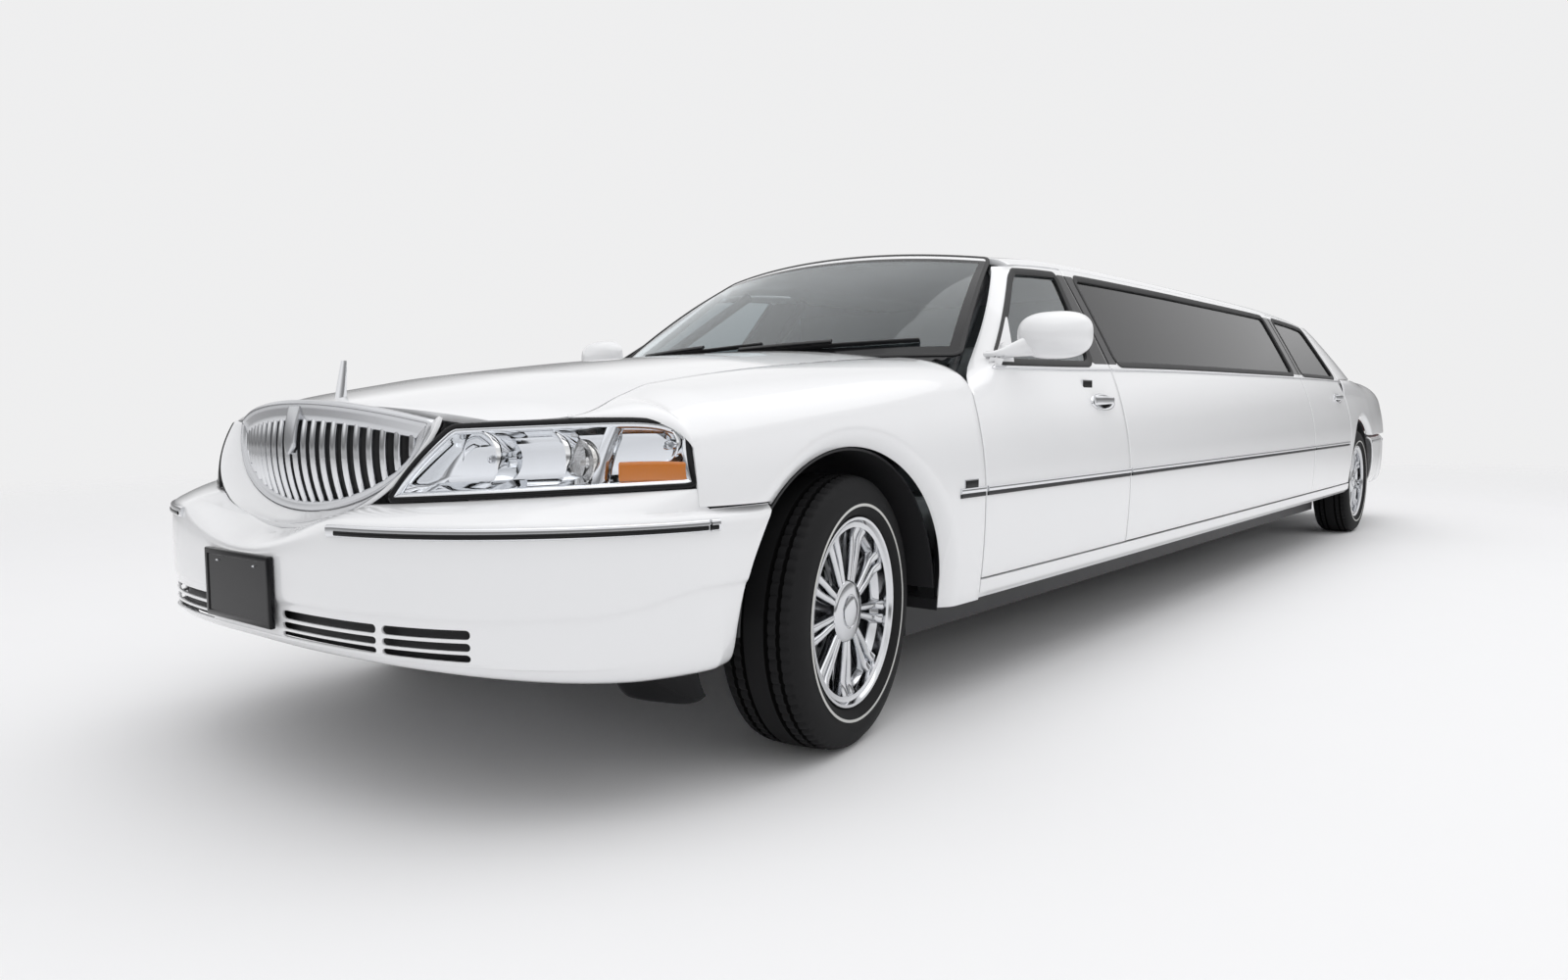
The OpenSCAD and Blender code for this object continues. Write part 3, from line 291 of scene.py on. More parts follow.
CABIN = Curve([
    (FRONT_AXLE + 800, 1002, 1300, 1340, 1380), (FRONT_AXLE + 1320, 1008, 1352, 1403, 1447),
    (FRONT_AXLE + 1720, 1016, 1374, 1436, 1482), (FRONT_AXLE + 2500, 1026, 1386, 1450, 1497),
    (FRONT_AXLE + 3400, 1032, 1390, 1453, 1499), (REAR_AXLE - 1500, 1037, 1390, 1450, 1496),
    (REAR_AXLE - 900, 1037, 1376, 1433, 1483), (REAR_AXLE - 560, 1036, 1350, 1409, 1463),
    (REAR_AXLE - 250, 1036, 1322, 1376, 1437)])
SHIELD = Curve([
    (1034, 790, FRONT_AXLE + 800, FRONT_AXLE + 600), (1160, 738, FRONT_AXLE + 950, FRONT_AXLE + 800),
    (1290, 676, FRONT_AXLE + 1130, FRONT_AXLE + 1020), (1405, 612, FRONT_AXLE + 1318, FRONT_AXLE + 1250)])
BACK = Curve([
    (1052, 752, REAR_AXLE + 385, REAR_AXLE + 470), (1170, 712, REAR_AXLE + 175, REAR_AXLE + 265),
    (1290, 662, REAR_AXLE - 50, REAR_AXLE + 40), (1398, 600, REAR_AXLE - 268, REAR_AXLE - 185)])
LINES = BodyLines()


@dataclass(frozen=True)
class Finish:
    """A surface finish: colour, gloss and the fine detail that breaks it up."""

    name: str
    color: tuple[float, float, float]
    roughness: float = 0.4
    metallic: float = 0.0
    coat: float = 0.0
    coat_roughness: float = 0.03
    transmission: float = 0.0
    ior: float = 1.45
    specular: float = 0.5
    grain_scale: float = 400.0
    grain_depth: float = 0.0
    tone: float = 0.04
    gloss_spread: float = 0.03

    def build(self) -> bpy.types.Material:
        """Makes the material once and returns it afterwards."""
        known = bpy.data.materials.get(self.name)
        if known is not None:
            return known
        material = bpy.data.materials.new(self.name)
        material.use_nodes = True
        tree = material.node_tree
        shader = tree.nodes["Principled BSDF"]
        for socket, value in (
            ("Metallic", self.metallic), ("Coat Weight", self.coat), ("Coat Roughness", self.coat_roughness),
            ("Transmission Weight", self.transmission), ("IOR", self.ior), ("Specular IOR Level", self.specular),
        ):
            shader.inputs[socket].default_value = value
        shader.inputs["Base Color"].default_value = (*self.color, 1.0)
        shader.inputs["Roughness"].default_value = self.roughness
        material.diffuse_color = (*self.color, 1.0)
        self.detail(tree, shader)
        return material

    def detail(self, tree: Tree, shader: Node) -> None:
        """Links the shared surface detail group to the shader.

        Args:
            tree: Node tree of the material.
            shader: Its Principled shader.
        """
        group = add_detail(tree, self.grain_scale)
        link_tone(tree, shader, group.outputs["Tone"], self.color, self.tone)
        link_gloss(tree, shader, group.outputs["Gloss"], self.roughness, self.gloss_spread)
        if self.grain_depth > 0:
            link_bump(tree, shader, group.outputs["Grain"], self.grain_depth)


def detail_group() -> Tree:
    """Builds the shared group of broad tone, gloss patches and fine grain over Object coordinates."""
    known = bpy.data.node_groups.get("surface_detail")
    if known is not None:
        return known
    group = bpy.data.node_groups.new("surface_detail", "ShaderNodeTree")
    scale = group.interface.new_socket("Grain Scale", in_out="INPUT", socket_type="NodeSocketFloat")
    scale.default_value = 400.0
    for name in ("Tone", "Gloss", "Grain"):
        group.interface.new_socket(name, in_out="OUTPUT", socket_type="NodeSocketFloat")
    source = group.nodes.new("NodeGroupInput")
    sink = group.nodes.new("NodeGroupOutput")
    place = group.nodes.new("ShaderNodeTexCoord")
    for name, size, octaves in (("Tone", 2.3, 4.0), ("Gloss", 11.0, 5.0), ("Grain", None, 2.0)):
        noise = group.nodes.new("ShaderNodeTexNoise")
        noise.inputs["Detail"].default_value = octaves
        if size is None:
            group.links.new(source.outputs["Grain Scale"], noise.inputs["Scale"])
        else:
            noise.inputs["Scale"].default_value = size
        group.links.new(place.outputs["Object"], noise.inputs["Vector"])
        group.links.new(noise.outputs["Fac"], sink.inputs[name])
    return group


def add_detail(tree: Tree, grain_scale: float) -> Node:
    """Places the surface detail group in a material.

    Args:
        tree: Node tree of the material.
        grain_scale: Scale of the fine grain.

    Returns:
        The group node.
    """
    node = tree.nodes.new("ShaderNodeGroup")
    node.node_tree = detail_group()
    node.inputs["Grain Scale"].default_value = grain_scale
    return node


def link_tone(
    tree: Tree, shader: Node, mask: Socket,
    color: Sequence[float], share: float,
) -> None:
    """Varies the base colour between the colour and a darker tone of it.

    Args:
        tree: Node tree of the material.
        shader: Its Principled shader.
        mask: Socket from 0 to 1.
        color: Full colour.
        share: How much darker the low end is.
    """
    mix = tree.nodes.new("ShaderNodeMix")
    mix.data_type = "RGBA"
    mix.inputs["A"].default_value = (*(c * (1 - share) for c in color), 1.0)
    mix.inputs["B"].default_value = (*color, 1.0)
    tree.links.new(mask, mix.inputs["Factor"])
    tree.links.new(mix.outputs["Result"], shader.inputs["Base Color"])


def link_gloss(
    tree: Tree, shader: Node, mask: Socket, level: float, spread_: float
) -> None:
    """Varies the roughness around a level.

    Args:
        tree: Node tree of the material.
        shader: Its Principled shader.
        mask: Socket from 0 to 1.
        level: Middle roughness.
        spread_: Largest distance from the level.
    """
    ramp = tree.nodes.new("ShaderNodeMapRange")
    ramp.inputs["To Min"].default_value = max(level - spread_, 0.0)
    ramp.inputs["To Max"].default_value = level + spread_
    tree.links.new(mask, ramp.inputs["Value"])
    tree.links.new(ramp.outputs["Result"], shader.inputs["Roughness"])


def link_bump(
    tree: Tree, shader: Node, height: Socket, depth: float
) -> None:
    """Raises a bump from a height socket.

    Args:
        tree: Node tree of the material.
        shader: Its Principled shader.
        height: Socket from 0 to 1.
        depth: Real depth in metres.
    """
    bump = tree.nodes.new("ShaderNodeBump")
    bump.inputs["Distance"].default_value = depth
    bump.inputs["Strength"].default_value = 1.0
    tree.links.new(height, bump.inputs["Height"])
    tree.links.new(bump.outputs["Normal"], shader.inputs["Normal"])


class Finishes:
    """All finishes of the car by their plain names."""

    paint = Finish("white_gloss_paint", (0.86, 0.865, 0.875), 0.32, coat=1.0, coat_roughness=0.02,
                   grain_scale=260, grain_depth=0.00002, tone=0.015)
    chrome = Finish("bright_chrome", (0.82, 0.83, 0.85), 0.06, metallic=1.0, tone=0.03, gloss_spread=0.02)
    satin = Finish("satin_plate", (0.66, 0.67, 0.69), 0.24, metallic=1.0, tone=0.04)
    wheel = Finish("wheel_chrome", (0.70, 0.71, 0.73), 0.10, metallic=1.0, tone=0.05)
    fluted = Finish("lamp_fluted_silver", (0.80, 0.79, 0.77), 0.16, metallic=0.8, grain_scale=240, grain_depth=0.0008,
                    tone=0.1)
    reflector = Finish("lamp_silver", (0.86, 0.87, 0.88), 0.05, metallic=1.0, tone=0.02)
    lens = Finish("lamp_clear", (0.97, 0.98, 1.0), 0.0, transmission=1.0, ior=1.2, tone=0.0, gloss_spread=0.0)
    amber = Finish("lamp_amber", (0.95, 0.28, 0.02), 0.15, coat=1.0, tone=0.3)
    red = Finish("lamp_red", (0.42, 0.010, 0.012), 0.12, coat=1.0, tone=0.25)
    windshield = Finish("clear_green_glass", (0.78, 0.87, 0.90), 0.0, transmission=1.0, tone=0.02, gloss_spread=0.0)
    tinted = Finish("dark_tinted_glass", (0.022, 0.024, 0.028), 0.0, transmission=1.0, ior=1.3, tone=0.05,
                    gloss_spread=0.0)
    gloss_black = Finish("black_gloss_trim", (0.008, 0.008, 0.009), 0.18, coat=0.12, specular=0.2, tone=0.2)
    rubber = Finish("black_rubber_seal", (0.014, 0.014, 0.015), 0.55, grain_scale=900, grain_depth=0.00004, tone=0.3)
    tread = Finish("black_tyre_rubber", (0.012, 0.012, 0.013), 0.7, specular=0.25, grain_scale=700,
                   grain_depth=0.00015, tone=0.3)
    # Near-black groove finish: painted shade that darkens the tread's grooves beyond the rubber's own colour.
    groove = Finish("tread_groove_painted_shade", (0.003, 0.003, 0.003), 0.9, specular=0.1, tone=0.3)
    white_ring = Finish("white_tyre_ring", (0.62, 0.62, 0.60), 0.5, grain_scale=700, grain_depth=0.0001, tone=0.1)
    plastic = Finish("black_moulded_plastic", (0.022, 0.022, 0.024), 0.5, grain_scale=1200, grain_depth=0.00006,
                     tone=0.2)
    steel = Finish("black_coated_steel", (0.03, 0.03, 0.033), 0.45, grain_scale=500, grain_depth=0.00008, tone=0.3)
    cast = Finish("cast_metal", (0.33, 0.33, 0.34), 0.5, metallic=0.9, grain_scale=300, grain_depth=0.0002, tone=0.25)
    pipe = Finish("plain_steel", (0.42, 0.42, 0.43), 0.35, metallic=1.0, grain_scale=250, grain_depth=0.00005, tone=0.3)
    fascia = Finish("grey_moulded_fascia", (0.11, 0.115, 0.12), 0.5, grain_scale=1200, grain_depth=0.0001, tone=0.2)
    hide = Finish("grey_hide", (0.30, 0.30, 0.30), 0.48, grain_scale=650, grain_depth=0.00025, tone=0.25)


def deselect() -> None:
    """Clears the selection, in object mode."""
    if bpy.context.object and bpy.context.object.mode != "OBJECT":
        bpy.ops.object.mode_set(mode="OBJECT")
    bpy.ops.object.select_all(action="DESELECT")


def take(obj: Piece) -> Piece:
    """Makes an object the only selected and active one."""
    deselect()
    obj.select_set(True)
    bpy.context.view_layer.objects.active = obj
    return obj


def modify(obj: Piece, kind: str, **settings: object) -> Piece:
    """Adds a modifier and applies it.

    Args:
        obj: Piece to change.
        kind: Modifier type.
        settings: Values of the modifier.

    Returns:
        The piece.
    """
    take(obj)
    modifier = obj.modifiers.new(kind.lower(), kind)
    for key, value in settings.items():
        setattr(modifier, key, value)
    bpy.ops.object.modifier_apply(modifier=modifier.name)
    return obj


def shade(obj: Piece, degrees: float = 32.0) -> Piece:
    """Shades smooth, with edges kept above an angle."""
    take(obj)
    bpy.ops.object.shade_smooth_by_angle(angle=math.radians(degrees))
    return obj


def edit(obj: Piece, *steps: Callable[[], object]) -> None:
    """Runs mesh operators on the whole of a piece in edit mode.

    Args:
        obj: Piece to edit.
        steps: Calls of mesh operators.
    """
    take(obj)
    bpy.ops.object.mode_set(mode="EDIT")
    bpy.ops.mesh.select_all(action="SELECT")
    for step in steps:
        step()
    bpy.ops.object.mode_set(mode="OBJECT")


def lay_grid(name: str, surface: Surface, us: Sequence[float], vs: Sequence[float]) -> Piece:
    """Adds a grid and lays it on a surface.

    Args:
        name: Name of the piece.
        surface: Gives the point in millimetres at u and v.
        us: Values of u of the columns.
        vs: Values of v of the rows.

    Returns:
        The new piece, with its place in its mesh.
    """
    deselect()
    bpy.ops.mesh.primitive_grid_add(x_subdivisions=len(us) - 1, y_subdivisions=len(vs) - 1, size=2)
    obj = bpy.context.object
    obj.name = obj.data.name = name
    points = np.array([surface(u, v) for v in vs for u in us], float) * MM
    obj.data.vertices.foreach_set("co", points.ravel())
    obj.data.update()
    return obj


def weld(obj: Piece, gap: float = 2e-6) -> Piece:
    """Merges points closer than a gap in metres and turns all faces outwards."""
    edit(obj, lambda: bpy.ops.mesh.remove_doubles(threshold=gap),
         lambda: bpy.ops.mesh.normals_make_consistent(inside=False))
    return obj


def block(name: str, middle: Sequence[float], size: Sequence[float]) -> Piece:
    """Adds a plain block, with its middle and size in metres."""
    deselect()
    bpy.ops.mesh.primitive_cube_add(size=1)
    obj = bpy.context.object
    obj.name = obj.data.name = name
    obj.data.transform(Matrix.Translation(middle) @ Matrix.Diagonal((*size, 1)))
    return obj


def pick_faces(obj: Piece, wanted: Callable[[bpy.types.MeshPolygon], bool],
               *steps: Callable[[], object]) -> None:
    """Runs mesh operators on the wanted faces of a piece only.

    Args:
        obj: Piece to edit.
        wanted: True for a face to work on.
        steps: Calls of mesh operators.
    """
    edit(obj, lambda: bpy.ops.mesh.select_mode(type="FACE"), lambda: bpy.ops.mesh.select_all(action="DESELECT"))
    for polygon in obj.data.polygons:
        polygon.select = wanted(polygon)
    bpy.ops.object.mode_set(mode="EDIT")
    for step in steps:
        step()
    bpy.ops.mesh.select_mode(type="VERT")
    bpy.ops.object.mode_set(mode="OBJECT")


def mirrored(obj: Piece, name: str) -> Piece:
    """Copies a piece to the other side of the car.

    Args:
        obj: Piece on the left.
        name: Name of the copy.

    Returns:
        The copy, with its own mesh and its faces turned outwards.
    """
    take(obj)
    bpy.ops.object.duplicate()
    other = bpy.context.object
    other.name = other.data.name = name
    other.data.transform(Matrix.Scale(-1, 4, (1, 0, 0)))
    edit(other, bpy.ops.mesh.flip_normals)
    return other


def joined(name: str, *objs: Piece) -> Piece:
    """Joins pieces into the first one.

    Args:
        name: Name of the joined piece.
        objs: Pieces to join.

    Returns:
        The joined piece.
    """
    take(objs[0])
    for obj in objs[1:]:
        obj.select_set(True)
    if len(objs) > 1:
        bpy.ops.object.join()
    objs[0].name = objs[0].data.name = name
    return objs[0]


def paired(name: str, obj: Piece) -> Piece:
    """Joins a left piece with its mirror image."""
    return joined(name, obj, mirrored(obj, name + "_other"))


def dress(obj: Piece, *finishes: Finish) -> Piece:
    """Gives a piece its finishes, in the order of its material numbers."""
    while obj.data.materials:
        obj.data.materials.pop()
    for finish in finishes:
        obj.data.materials.append(finish.build())
    return obj


def settle(obj: Piece, body: str, slot: Slot, *nodes: str) -> Piece:
    """Hands a finished piece to the frame.

    Args:
        obj: Finished piece.
        body: Body that it moves with.
        slot: Record's slot of its finish; not used.
        nodes: Solids that it stands for.

    Returns:
        The piece.
    """
    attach(obj, body)
    if nodes:
        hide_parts(*nodes)
    LOG.info("%s: %d faces on %s", obj.name, len(obj.data.polygons), body)
    return obj


def thicken(obj: Piece, wall: float, edge: float = 1.5) -> Piece:
    """Gives a sheet its wall towards the inside, and rounds its edges.

    Args:
        obj: Sheet whose faces point outwards.
        wall: Thickness in millimetres.
        edge: Radius of the edges in millimetres.

    Returns:
        The closed piece.
    """
    modify(obj, "SOLIDIFY", thickness=wall * MM, offset=-1.0, use_even_offset=False)
    if edge > 0:
        modify(obj, "BEVEL", width=edge * MM, segments=2, limit_method="ANGLE", angle_limit=math.radians(50))
    return shade(obj)


def face_out(obj: Piece, inside: Point) -> Piece:
    """Turns a sheet's faces away from an inside point given in millimetres."""
    middle = Vector(inside) * MM
    total = sum((p.center - middle).dot(p.normal) * p.area for p in obj.data.polygons)
    if total < 0:
        edit(obj, bpy.ops.mesh.flip_normals)
    return obj


def tube(name: str, point: Callable[[float, float], Point], us: Sequence[float], around: int,
         ring: bool = False) -> Piece:
    """Makes a closed bar or ring: u along it, v from 0 to 1 around its section.

    Args:
        name: Name of the piece.
        point: Gives the point in millimetres at u and v.
        us: Values of u along it.
        around: Number of points around the section.
        ring: True where the last u meets the first.

    Returns:
        The closed piece with its faces outwards.
    """
    obj = lay_grid(name, point, us, [i / around for i in range(around + 1)])
    edit(obj, lambda: bpy.ops.mesh.remove_doubles(threshold=2e-6))
    if not ring:
        edit(obj, lambda: bpy.ops.mesh.fill_holes(sides=0))
    edit(obj, lambda: bpy.ops.mesh.normals_make_consistent(inside=False))
    return obj


def turned(name: str, profile: Section, around: int) -> Piece:
    """Turns a profile about the z axis.

    Args:
        name: Name of the piece.
        profile: Rows of distance along the axis and radius, in millimetres, from end to end.
        around: Number of columns.

    Returns:
        The closed piece with its faces outwards.
    """
    def point(u: float, v: float) -> Point:
        along, radius = profile[round(v)]
        return radius * math.cos(u), radius * math.sin(u), along

    angles = [2 * math.pi * i / around for i in range(around + 1)]
    obj = lay_grid(name, point, angles, list(range(len(profile))))
    return shade(weld(obj), 40)


def stops(low: float, high: float, step: float, *edges: tuple[float, float]) -> list[float]:
    """Values from low to high with more of them beside a window's corners.

    Args:
        low: First value.
        high: Last value.
        step: Largest distance between two values.
        edges: Place of a window's edge, and signed length of its corner's round.

    Returns:
        The rising list.
    """
    marks = {low, high}
    for edge, reach in edges:
        marks |= {edge + reach * f for f in (0, 0.2, 0.4, 0.6, 0.8, 1)}
    return spread(*sorted(round(m, 6) for m in marks), step=step)


def outward(surface: Surface, u: float, v: float, du: float, dv: float) -> tuple[np.ndarray, np.ndarray]:
    """Point of a surface at u and v, and its unit normal away from the car's middle plane.

    Args:
        surface: Gives the point in millimetres at u and v.
        u: Place along the surface.
        v: Place up the surface.
        du: Half step along u for the slope.
        dv: Half step along v for the slope.

    Returns:
        The point and the normal.
    """
    a = np.subtract(surface(u + du, v), surface(u - du, v))
    b = np.subtract(surface(u, v + dv), surface(u, v - dv))
    n = np.cross(a, b)
    normal = n / max(float(np.linalg.norm(n)), 1e-9)
    here = np.array(surface(u, v))
    return here, -normal if normal[0] * here[0] < 0 else normal


@dataclass(frozen=True)
class Opening:
    """Window in a panel's own u and v, with rounded corners."""

    u0: float
    u1: float
    v0: float
    v1: float
    ru: float = 0.0
    rv: float = 0.0

    def move(self, u: float, v: float) -> tuple[float, float]:
        """Moves a point of the opening's square edge onto its rounded edge."""
        eps = 1e-6
        on_u = min(abs(u - self.u0), abs(u - self.u1)) < eps and self.v0 - eps < v < self.v1 + eps
        on_v = min(abs(v - self.v0), abs(v - self.v1)) < eps and self.u0 - eps < u < self.u1 + eps
        if not (on_u or on_v) or self.ru <= 0:
            return u, v
        su, ou = (1, self.u0) if abs(u - self.u0) < abs(u - self.u1) else (-1, self.u1)
        sv, ov = (1, self.v0) if abs(v - self.v0) < abs(v - self.v1) else (-1, self.v1)
        du, dv = abs(u - ou) / self.ru, abs(v - ov) / self.rv
        if du > 1 or dv > 1:
            return u, v
        angle = math.pi / 4 * (1 - (dv if on_u else du))
        near, far = 1 - math.cos(angle), 1 - math.sin(angle)
        a, b = (near, far) if on_u else (far, near)
        return ou + su * self.ru * a, ov + sv * self.rv * b

    def outline(self, s: float, grow_u: float = 0.0, grow_v: float = 0.0) -> tuple[float, float]:
        """Point of the rounded edge.

        Args:
            s: 0 to 1 around the edge.
            grow_u: Outward growth along u.
            grow_v: Outward growth along v.

        Returns:
            u and v of the point.
        """
        u0, u1, v0, v1 = self.u0 - grow_u, self.u1 + grow_u, self.v0 - grow_v, self.v1 + grow_v
        ru, rv = max(self.ru + grow_u, 1e-4), max(self.rv + grow_v, 1e-4)
        quarter = (s % 1.0) * 4
        k, t = int(quarter), quarter - int(quarter)
        corners = ((u1 - ru, v0 + rv), (u1 - ru, v1 - rv), (u0 + ru, v1 - rv), (u0 + ru, v0 + rv))
        starts = (-90, 0, 90, 180)
        share = 0.3
        if t < share:
            a = math.radians(starts[k] + 90 * t / share)
            return corners[k][0] + ru * math.cos(a), corners[k][1] + rv * math.sin(a)
        f = (t - share) / (1 - share)
        a = math.radians(starts[k] + 90)
        p = (corners[k][0] + ru * math.cos(a), corners[k][1] + rv * math.sin(a))
        n = (k + 1) % 4
        q = (corners[n][0] + ru * math.cos(a), corners[n][1] + rv * math.sin(a))
        return lerp(p[0], q[0], f), lerp(p[1], q[1], f)


@dataclass
class Panel:
    """Sheet of the body laid on a surface, with windows, a wall and rounded edges."""

    name: str
    surface: Surface
    us: Sequence[float]
    vs: Sequence[float]
    wall: float = 2.0
    openings: Sequence[Opening] = ()
    edge: float = 1.5
    inside: Point = (0.0, 0.0, 700.0)
    paint_by: Callable[[float, float], int] | None = None

    def placed(self, u: float, v: float) -> Point:
        """Point of the panel with the edges of its windows rounded."""
        for opening in self.openings:
            u, v = opening.move(u, v)
        return self.surface(u, v)

    def cells(self, obj: Piece) -> list[tuple[float, float]]:
        """Middle of each face in u and v."""
        out = []
        for polygon in obj.data.polygons:
            first = min(polygon.vertices)
            i, j = first % len(self.us), first // len(self.us)
            out.append(((self.us[i] + self.us[i + 1]) / 2, (self.vs[j] + self.vs[j + 1]) / 2))
        return out

    def build(self) -> Piece:
        """Makes the panel.

        Returns:
            The closed piece, with a material number for each face.
        """
        obj = lay_grid(self.name, self.placed, self.us, self.vs)
        middles = self.cells(obj)
        if self.paint_by is not None:
            for polygon, (u, v) in zip(obj.data.polygons, middles):
                polygon.material_index = self.paint_by(u, v)
        if self.openings:
            holes = self.openings
            pick_faces(obj, lambda p: any(
                h.u0 < middles[p.index][0] < h.u1 and h.v0 < middles[p.index][1] < h.v1 for h in holes),
                lambda: bpy.ops.mesh.delete(type="FACE"))
        face_out(obj, self.inside)
        return thicken(obj, self.wall, self.edge)


@dataclass(frozen=True)
class EdgeRing:
    """Strip that follows the edge of a window, such as a gasket."""

    name: str
    surface: Surface
    opening: Opening
    section: Section
    du: float = 0.004
    dv: float = 0.01

    def place(self, s: float, grow: float, lift: float) -> Point:
        """Point beside the edge.

        Args:
            s: 0 to 1 around the edge.
            grow: Distance away from the window's middle, along the panel.
            lift: Distance out of the panel.

        Returns:
            The point in millimetres.
        """
        u, v = self.opening.outline(s)
        here, normal = outward(self.surface, u, v, self.du, self.dv)
        ahead = np.array(self.surface(*self.opening.outline(s + 0.002)))
        behind = np.array(self.surface(*self.opening.outline(s - 0.002)))
        middle = np.array(self.surface((self.opening.u0 + self.opening.u1) / 2,
                                       (self.opening.v0 + self.opening.v1) / 2))
        away = np.cross(ahead - behind, normal)
        away /= max(float(np.linalg.norm(away)), 1e-9)
        if float(np.dot(away, here - middle)) < 0:
            away = -away
        return tuple(here + away * grow + normal * lift)

    def build(self, count: int = 160) -> Piece:
        """Makes the closed strip."""
        last = len(self.section)

        def point(s: float, t: float) -> Point:
            grow, lift = self.section[round(t * last) % last]
            return self.place(s, grow, lift)

        obj = tube(self.name, point, [i / count for i in range(count + 1)], last, ring=True)
        return shade(obj, 50)


def glass_sheet(name: str, surface: Surface, opening: Opening, depth: float, over: tuple[float, float],
                count: tuple[int, int]) -> Piece:
    """Makes the pane behind a window.

    Args:
        name: Name of the piece.
        surface: Outer surface of the panel around it.
        opening: The window.
        depth: Distance of the pane behind the surface.
        over: How far it reaches behind the panel along u and v.
        count: Number of cells along u and v.

    Returns:
        The closed pane.
    """
    def point(u: float, v: float) -> Point:
        here, normal = outward(surface, u, v, 0.01, 0.01)
        return tuple(here - normal * depth)

    us = [lerp(opening.u0 - over[0], opening.u1 + over[0], i / count[0]) for i in range(count[0] + 1)]
    vs = [lerp(opening.v0 - over[1], opening.v1 + over[1], j / count[1]) for j in range(count[1] + 1)]
    obj = lay_grid(name, point, us, vs)
    face_out(obj, (0, surface(us[0], vs[0])[1], 700))
    modify(obj, "SOLIDIFY", thickness=4.5 * MM, offset=-1.0)
    return shade(obj, 40)


def strip(name: str, path: Callable[[float], Point], out: Callable[[float], Sequence[float]],
          size: tuple[float, float], us: Sequence[float], power: float = 0.6) -> Piece:
    """Makes a rounded moulding along a path on the car's side.

    Args:
        name: Name of the piece.
        path: Gives the middle of the moulding at u.
        out: Gives the outward direction at u.
        size: Height of the moulding and how far it stands out.
        us: Values of u along it.
        power: Squareness of the section, smaller for squarer.

    Returns:
        The closed piece.
    """
    def point(u: float, t: float) -> Point:
        c, s = on_circle(t)
        a = np.sign(s) * abs(s) ** power * size[0] / 2
        b = np.sign(c) * abs(c) ** power * size[1]
        away = np.array(out(u), float)
        ahead = np.subtract(path(u + 1e-3), path(u - 1e-3))
        across = np.cross(ahead, away)
        across /= max(float(np.linalg.norm(across)), 1e-9)
        return tuple(np.array(path(u)) + away * b + across * a)

    return shade(tube(name, point, us, 20), 45)


BUMPER = Curve([
    (298, 64), (308, 32), (332, 15), (398, 8), (474, 7), (486, 6), (494, 1), (530, 0), (575, 0), (612, 4), (640, 14),
    (652, 42)])


RING = ((0, 18), (0, 6), (0.03, 2), (0.08, 0), (0.16, -1), (0.24, 0.5), (0.32, 3), (0.42, 5), (0.7, 9), (0.94, 13),
        (1, 16), (1, 25))


